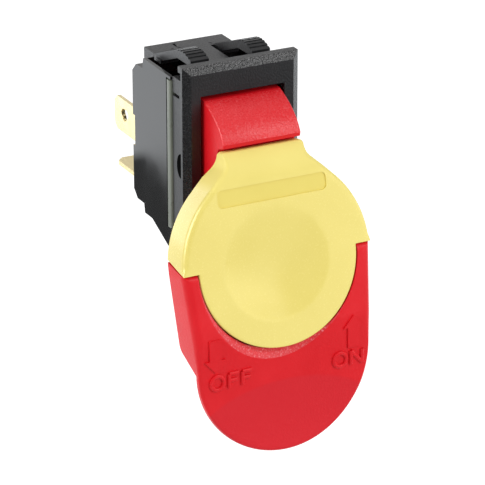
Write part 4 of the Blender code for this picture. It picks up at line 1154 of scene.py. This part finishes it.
def plastic(name, low, high, roughness, grain, depth, ior=1.5, glint_fleck=None):
    """Moulded plastic: slow drifts of colour, fine tool grain and roughness that follows the grain."""
    made, tree, shader = new_material(name)
    shader.inputs["IOR"].default_value = ior
    grain_and_glints = noise(tree, grain, 3.0)
    colour = tint(tree, noise(tree, COLOUR_DRIFT), low, high)
    # Lighter flecks in the grain are painted glints
    if glint_fleck is not None:
        colour = towards(tree, spread(tree, grain_and_glints, 0.0, 1.0, *GLINT_FLECK_SHARE), colour, glint_fleck)
    tree.links.new(colour, shader.inputs["Base Color"])
    uneven = spread(tree, grain_and_glints, roughness - PLASTIC_UNEVEN, roughness + PLASTIC_UNEVEN)
    tree.links.new(uneven, shader.inputs["Roughness"])
    bump(tree, shader, grain_and_glints, depth)
    return made


def up_the_face(tree, unit):
    """How far a place lies up the paddle's face from its centre, in units of some millimetres."""
    along_face = along_axis(tree, "Object", FACE_UP * (PER_METRE / unit))
    return combine(tree, "SUBTRACT", along_face, FACE_UP.dot(Vector(PADDLE_CENTRE)) / unit)


def soften_neck(made):
    """A duller neck on the key, above its smoother face."""
    tree = made.node_tree
    socket = tree.nodes["Principled BSDF"].inputs["Roughness"]
    share = spread(tree, up_the_face(tree, 1.0), 0.0, NECK_ROUGHNESS, *NECK_SOFT)
    tree.links.new(combine(tree, "MAXIMUM", socket.links[0].from_socket, share), socket)


def paint_hollow_shade(made):
    """Painted shade: a darker, cooler red in the hollow of the paddle's lower lip."""
    tree = made.node_tree
    shader = tree.nodes["Principled BSDF"]
    across = along_axis(tree, "Object", (PER_METRE / LIP_DISH_REACH[0], 0.0, 0.0))
    centre = LIP_DISH_CENTRE / LIP_DISH_REACH[1]
    up = combine(tree, "SUBTRACT", up_the_face(tree, LIP_DISH_REACH[1]), centre)
    reach = combine(tree, "ADD", combine(tree, "MULTIPLY", across, across), combine(tree, "MULTIPLY", up, up))
    inside = spread(tree, reach, 1.0, 0.0, *LIP_HOLLOW_SHADE_EDGE)
    socket = shader.inputs["Base Color"]
    tree.links.new(towards(tree, inside, socket.links[0].from_socket, LIP_HOLLOW_SHADE), socket)


def metal(name, low, high, roughness, stretch):
    """Stamped or drawn metal: drawn lines along the stock and a slightly uneven tone."""
    made, tree, shader = new_material(name)
    shader.inputs["Metallic"].default_value = 1.0
    drawn = noise(tree, DRAWN_LINES, 3.0, stretch)
    tree.links.new(tint(tree, noise(tree, METAL_DRIFT), low, high), shader.inputs["Base Color"])
    uneven = spread(tree, drawn, roughness - METAL_UNEVEN, roughness + METAL_UNEVEN)
    tree.links.new(uneven, shader.inputs["Roughness"])
    bump(tree, shader, drawn, DRAWN_DEPTH, DRAWN_STRENGTH)
    return made


def make_finishes():
    made = {row[0]: plastic(*row) for row in PLASTICS}
    made.update({row[0]: metal(*row) for row in METALS})
    return made


def sprung(side, material):
    """A plunger's coil spring, copied whole and carried with the rocker."""
    node = f"plunger_spring_{side}"
    coil = new_object(f"{node}_coil", frame["nodes"][node].data.copy())
    coil.data.materials.clear()
    coil.data.materials.append(material)
    smooth(coil)
    fit(coil, "paddle", node, "spring_steel", material)
    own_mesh(coil)


def dress_inner_pieces(finishes):
    """Pieces inside the housing keep their own solids and get their finish."""
    slots = {row["node"]: row["material_slot"] for row in frame["record"]["subparts"]}
    for node, made in frame["nodes"].items():
        if made.hide_render:
            continue
        made.data.materials.clear()
        made.data.materials.append(finishes[slots[node]])


# Studio


def make_camera():
    a, e = CAMERA_AZIMUTH, CAMERA_ELEVATION
    right = Vector((math.cos(a), -math.sin(a), 0.0))
    forward = Vector((math.sin(a) * math.cos(e), math.cos(a) * math.cos(e), -math.sin(e)))
    up = right.cross(forward)
    place = Vector(CAMERA_ANCHOR) - up * CAMERA_ANCHOR_RISE - forward * CAMERA_DISTANCE
    data = bpy.data.cameras.new("camera")
    data.lens = CAMERA_LENS
    data.sensor_width = SENSOR_WIDTH
    data.sensor_fit = "HORIZONTAL"
    data.clip_start = CAMERA_CLIP
    camera = new_object("camera", data)
    turn = Matrix((right, up, -forward)).transposed().to_4x4()
    camera.matrix_world = Matrix.Translation(place * MM) @ turn
    bpy.context.scene.camera = camera


def light_path(tree, *names):
    """1 for rays of any of the named kinds."""
    path = tree.nodes.new("ShaderNodeLightPath")
    total = path.outputs[names[0]]
    for name in names[1:]:
        total = combine(tree, "MAXIMUM", total, path.outputs[name])
    return total


def choose(tree, factor, first, second):
    """One of two values, each a number or an output, by a factor of 0 or 1."""
    mix = tree.nodes.new("ShaderNodeMix")
    tree.links.new(factor, mix.inputs["Factor"])
    connect(tree, first, mix.inputs["A"])
    connect(tree, second, mix.inputs["B"])
    return mix.outputs["Result"]


def make_zones(tree, output, rows):
    """Values that each change between two places along an axis."""
    return {name: spread(tree, along_axis(tree, output, axis), *ramp) for name, (axis, *ramp) in rows.items()}


def make_world():
    """Surroundings that look white, light evenly, and mirror as bright zones around a dim front."""
    world = bpy.data.worlds.new("studio")
    world.use_nodes = True
    tree = world.node_tree
    background = tree.nodes["Background"]
    background.inputs["Color"].default_value = WHITE
    zones = make_zones(tree, "Generated", WORLD_ZONES)
    mirrored = zones["right"]
    for name in ("low", "front"):
        mirrored = combine(tree, "MULTIPLY", mirrored, zones[name])
    for name in ("back", "left", "corner", "above"):
        mirrored = combine(tree, "MAXIMUM", mirrored, zones[name])
    lit = choose(tree, light_path(tree, "Is Glossy Ray", "Is Transmission Ray"), AMBIENT, mirrored)
    tree.links.new(choose(tree, light_path(tree, "Is Camera Ray"), lit, 1.0), background.inputs["Strength"])
    world.cycles.sampling_method = "NONE"
    bpy.context.scene.world = world


def make_floor():
    """A pale floor below the switch, white to the eye and dim in what mirrors its near side."""
    bm = bmesh.new()
    bmesh.ops.create_grid(bm, x_segments=2, y_segments=2, size=FLOOR_HALF)
    floor = solid("floor", bm, Matrix.Translation((0.0, 0.0, FLOOR_Z)))
    made, tree, shader = new_material("pale_floor")
    shader.inputs["Base Color"].default_value = FLOOR_COLOUR
    shader.inputs["Roughness"].default_value = FLOOR_ROUGHNESS
    shader.inputs["Specular IOR Level"].default_value = 0.0
    shader.inputs["Emission Color"].default_value = WHITE
    seen = spread(tree, light_path(tree, "Is Camera Ray"), 0.0, FLOOR_GLOW, 0.0, 1.0)
    tree.links.new(seen, shader.inputs["Emission Strength"])
    made.cycles.emission_sampling = "NONE"
    glow = tree.nodes.new("ShaderNodeEmission")
    zones = make_zones(tree, "Object", FLOOR_ZONES)
    aside = combine(tree, "ABSOLUTE", along_axis(tree, "Object", RIGHT))
    white = spread(tree, aside, 0.0, 1.0, *FLOOR_SIDE)
    for name in ("near", "far"):
        white = combine(tree, "MAXIMUM", white, zones[name])
    white = combine(tree, "MULTIPLY", white, zones["back"])
    white = combine(tree, "MAXIMUM", white, combine(tree, "MULTIPLY", zones["right"], zones["front"]))
    mirrored = combine(tree, "MAXIMUM", spread(tree, white, FLOOR_DIM, FLOOR_WHITE, 0.0, 1.0), zones["deep"])
    tree.links.new(mirrored, glow.inputs["Strength"])
    glow.inputs["Color"].default_value = FLOOR_GLOSS_COLOUR
    mix = tree.nodes.new("ShaderNodeMixShader")
    tree.links.new(light_path(tree, "Is Glossy Ray", "Is Transmission Ray"), mix.inputs["Fac"])
    tree.links.new(shader.outputs["BSDF"], mix.inputs[1])
    tree.links.new(glow.outputs["Emission"], mix.inputs[2])
    tree.links.new(mix.outputs["Shader"], tree.nodes["Material Output"].inputs["Surface"])
    floor.data.materials.append(made)


def make_lamp(name, place, size, power, mirrored=True):
    """A square soft lamp aimed at the switch, which glossy faces mirror or not."""
    data = bpy.data.lights.new(name, "AREA")
    data.size = size
    data.energy = power
    lamp = new_object(name, data)
    lamp.location = place
    lamp.visible_glossy = mirrored
    lamp.rotation_euler = (Vector(LAMP_TARGET) - Vector(place)).to_track_quat("-Z", "Y").to_euler()


def make_studio():
    make_camera()
    make_world()
    make_floor()
    make_lamp("key_softbox", (0.55, -0.80, 0.30), size=0.45, power=3.2, mirrored=False)
    make_lamp("upper_softbox", (0.48, -0.61, 0.66), size=0.18, power=2.1)
    make_lamp("left_fill", (-0.86, 0.04, 0.50), size=0.6, power=5.0)
    bpy.context.scene.view_settings.view_transform = "Standard"


finishes = make_finishes()
soften_neck(finishes["yellow_plastic"])
paint_hollow_shade(finishes["red_plastic"])
make_paddle(finishes["red_plastic"], finishes["red_plastic_grain_glints"], finishes["red_plastic_rough_sheen"])
make_key(finishes["yellow_plastic"], finishes["yellow_panel_painted_shade"])
dressed("bezel_frame", "black_nylon", finishes["black_nylon"], MOULDED_EDGE, shape_frame,
        detail_frame(finishes["black_nylon_grain_glints"], finishes["hole_painted_shade"]))
dressed("switch_base", "black_gloss", finishes["black_gloss"], HOUSING_EDGE, shape_base,
        detail_base(finishes["bead"]))
for side in ("left", "right"):
    dressed(f"centre_terminal_{side}", "brass", finishes["brass"], STAMPED_EDGE, detail=open_tab_hole)
    dressed(f"end_terminal_{side}", "brass", finishes["brass"], STAMPED_EDGE)
    sprung(side, finishes["spring_steel"])
dress_inner_pieces(finishes)
make_studio()
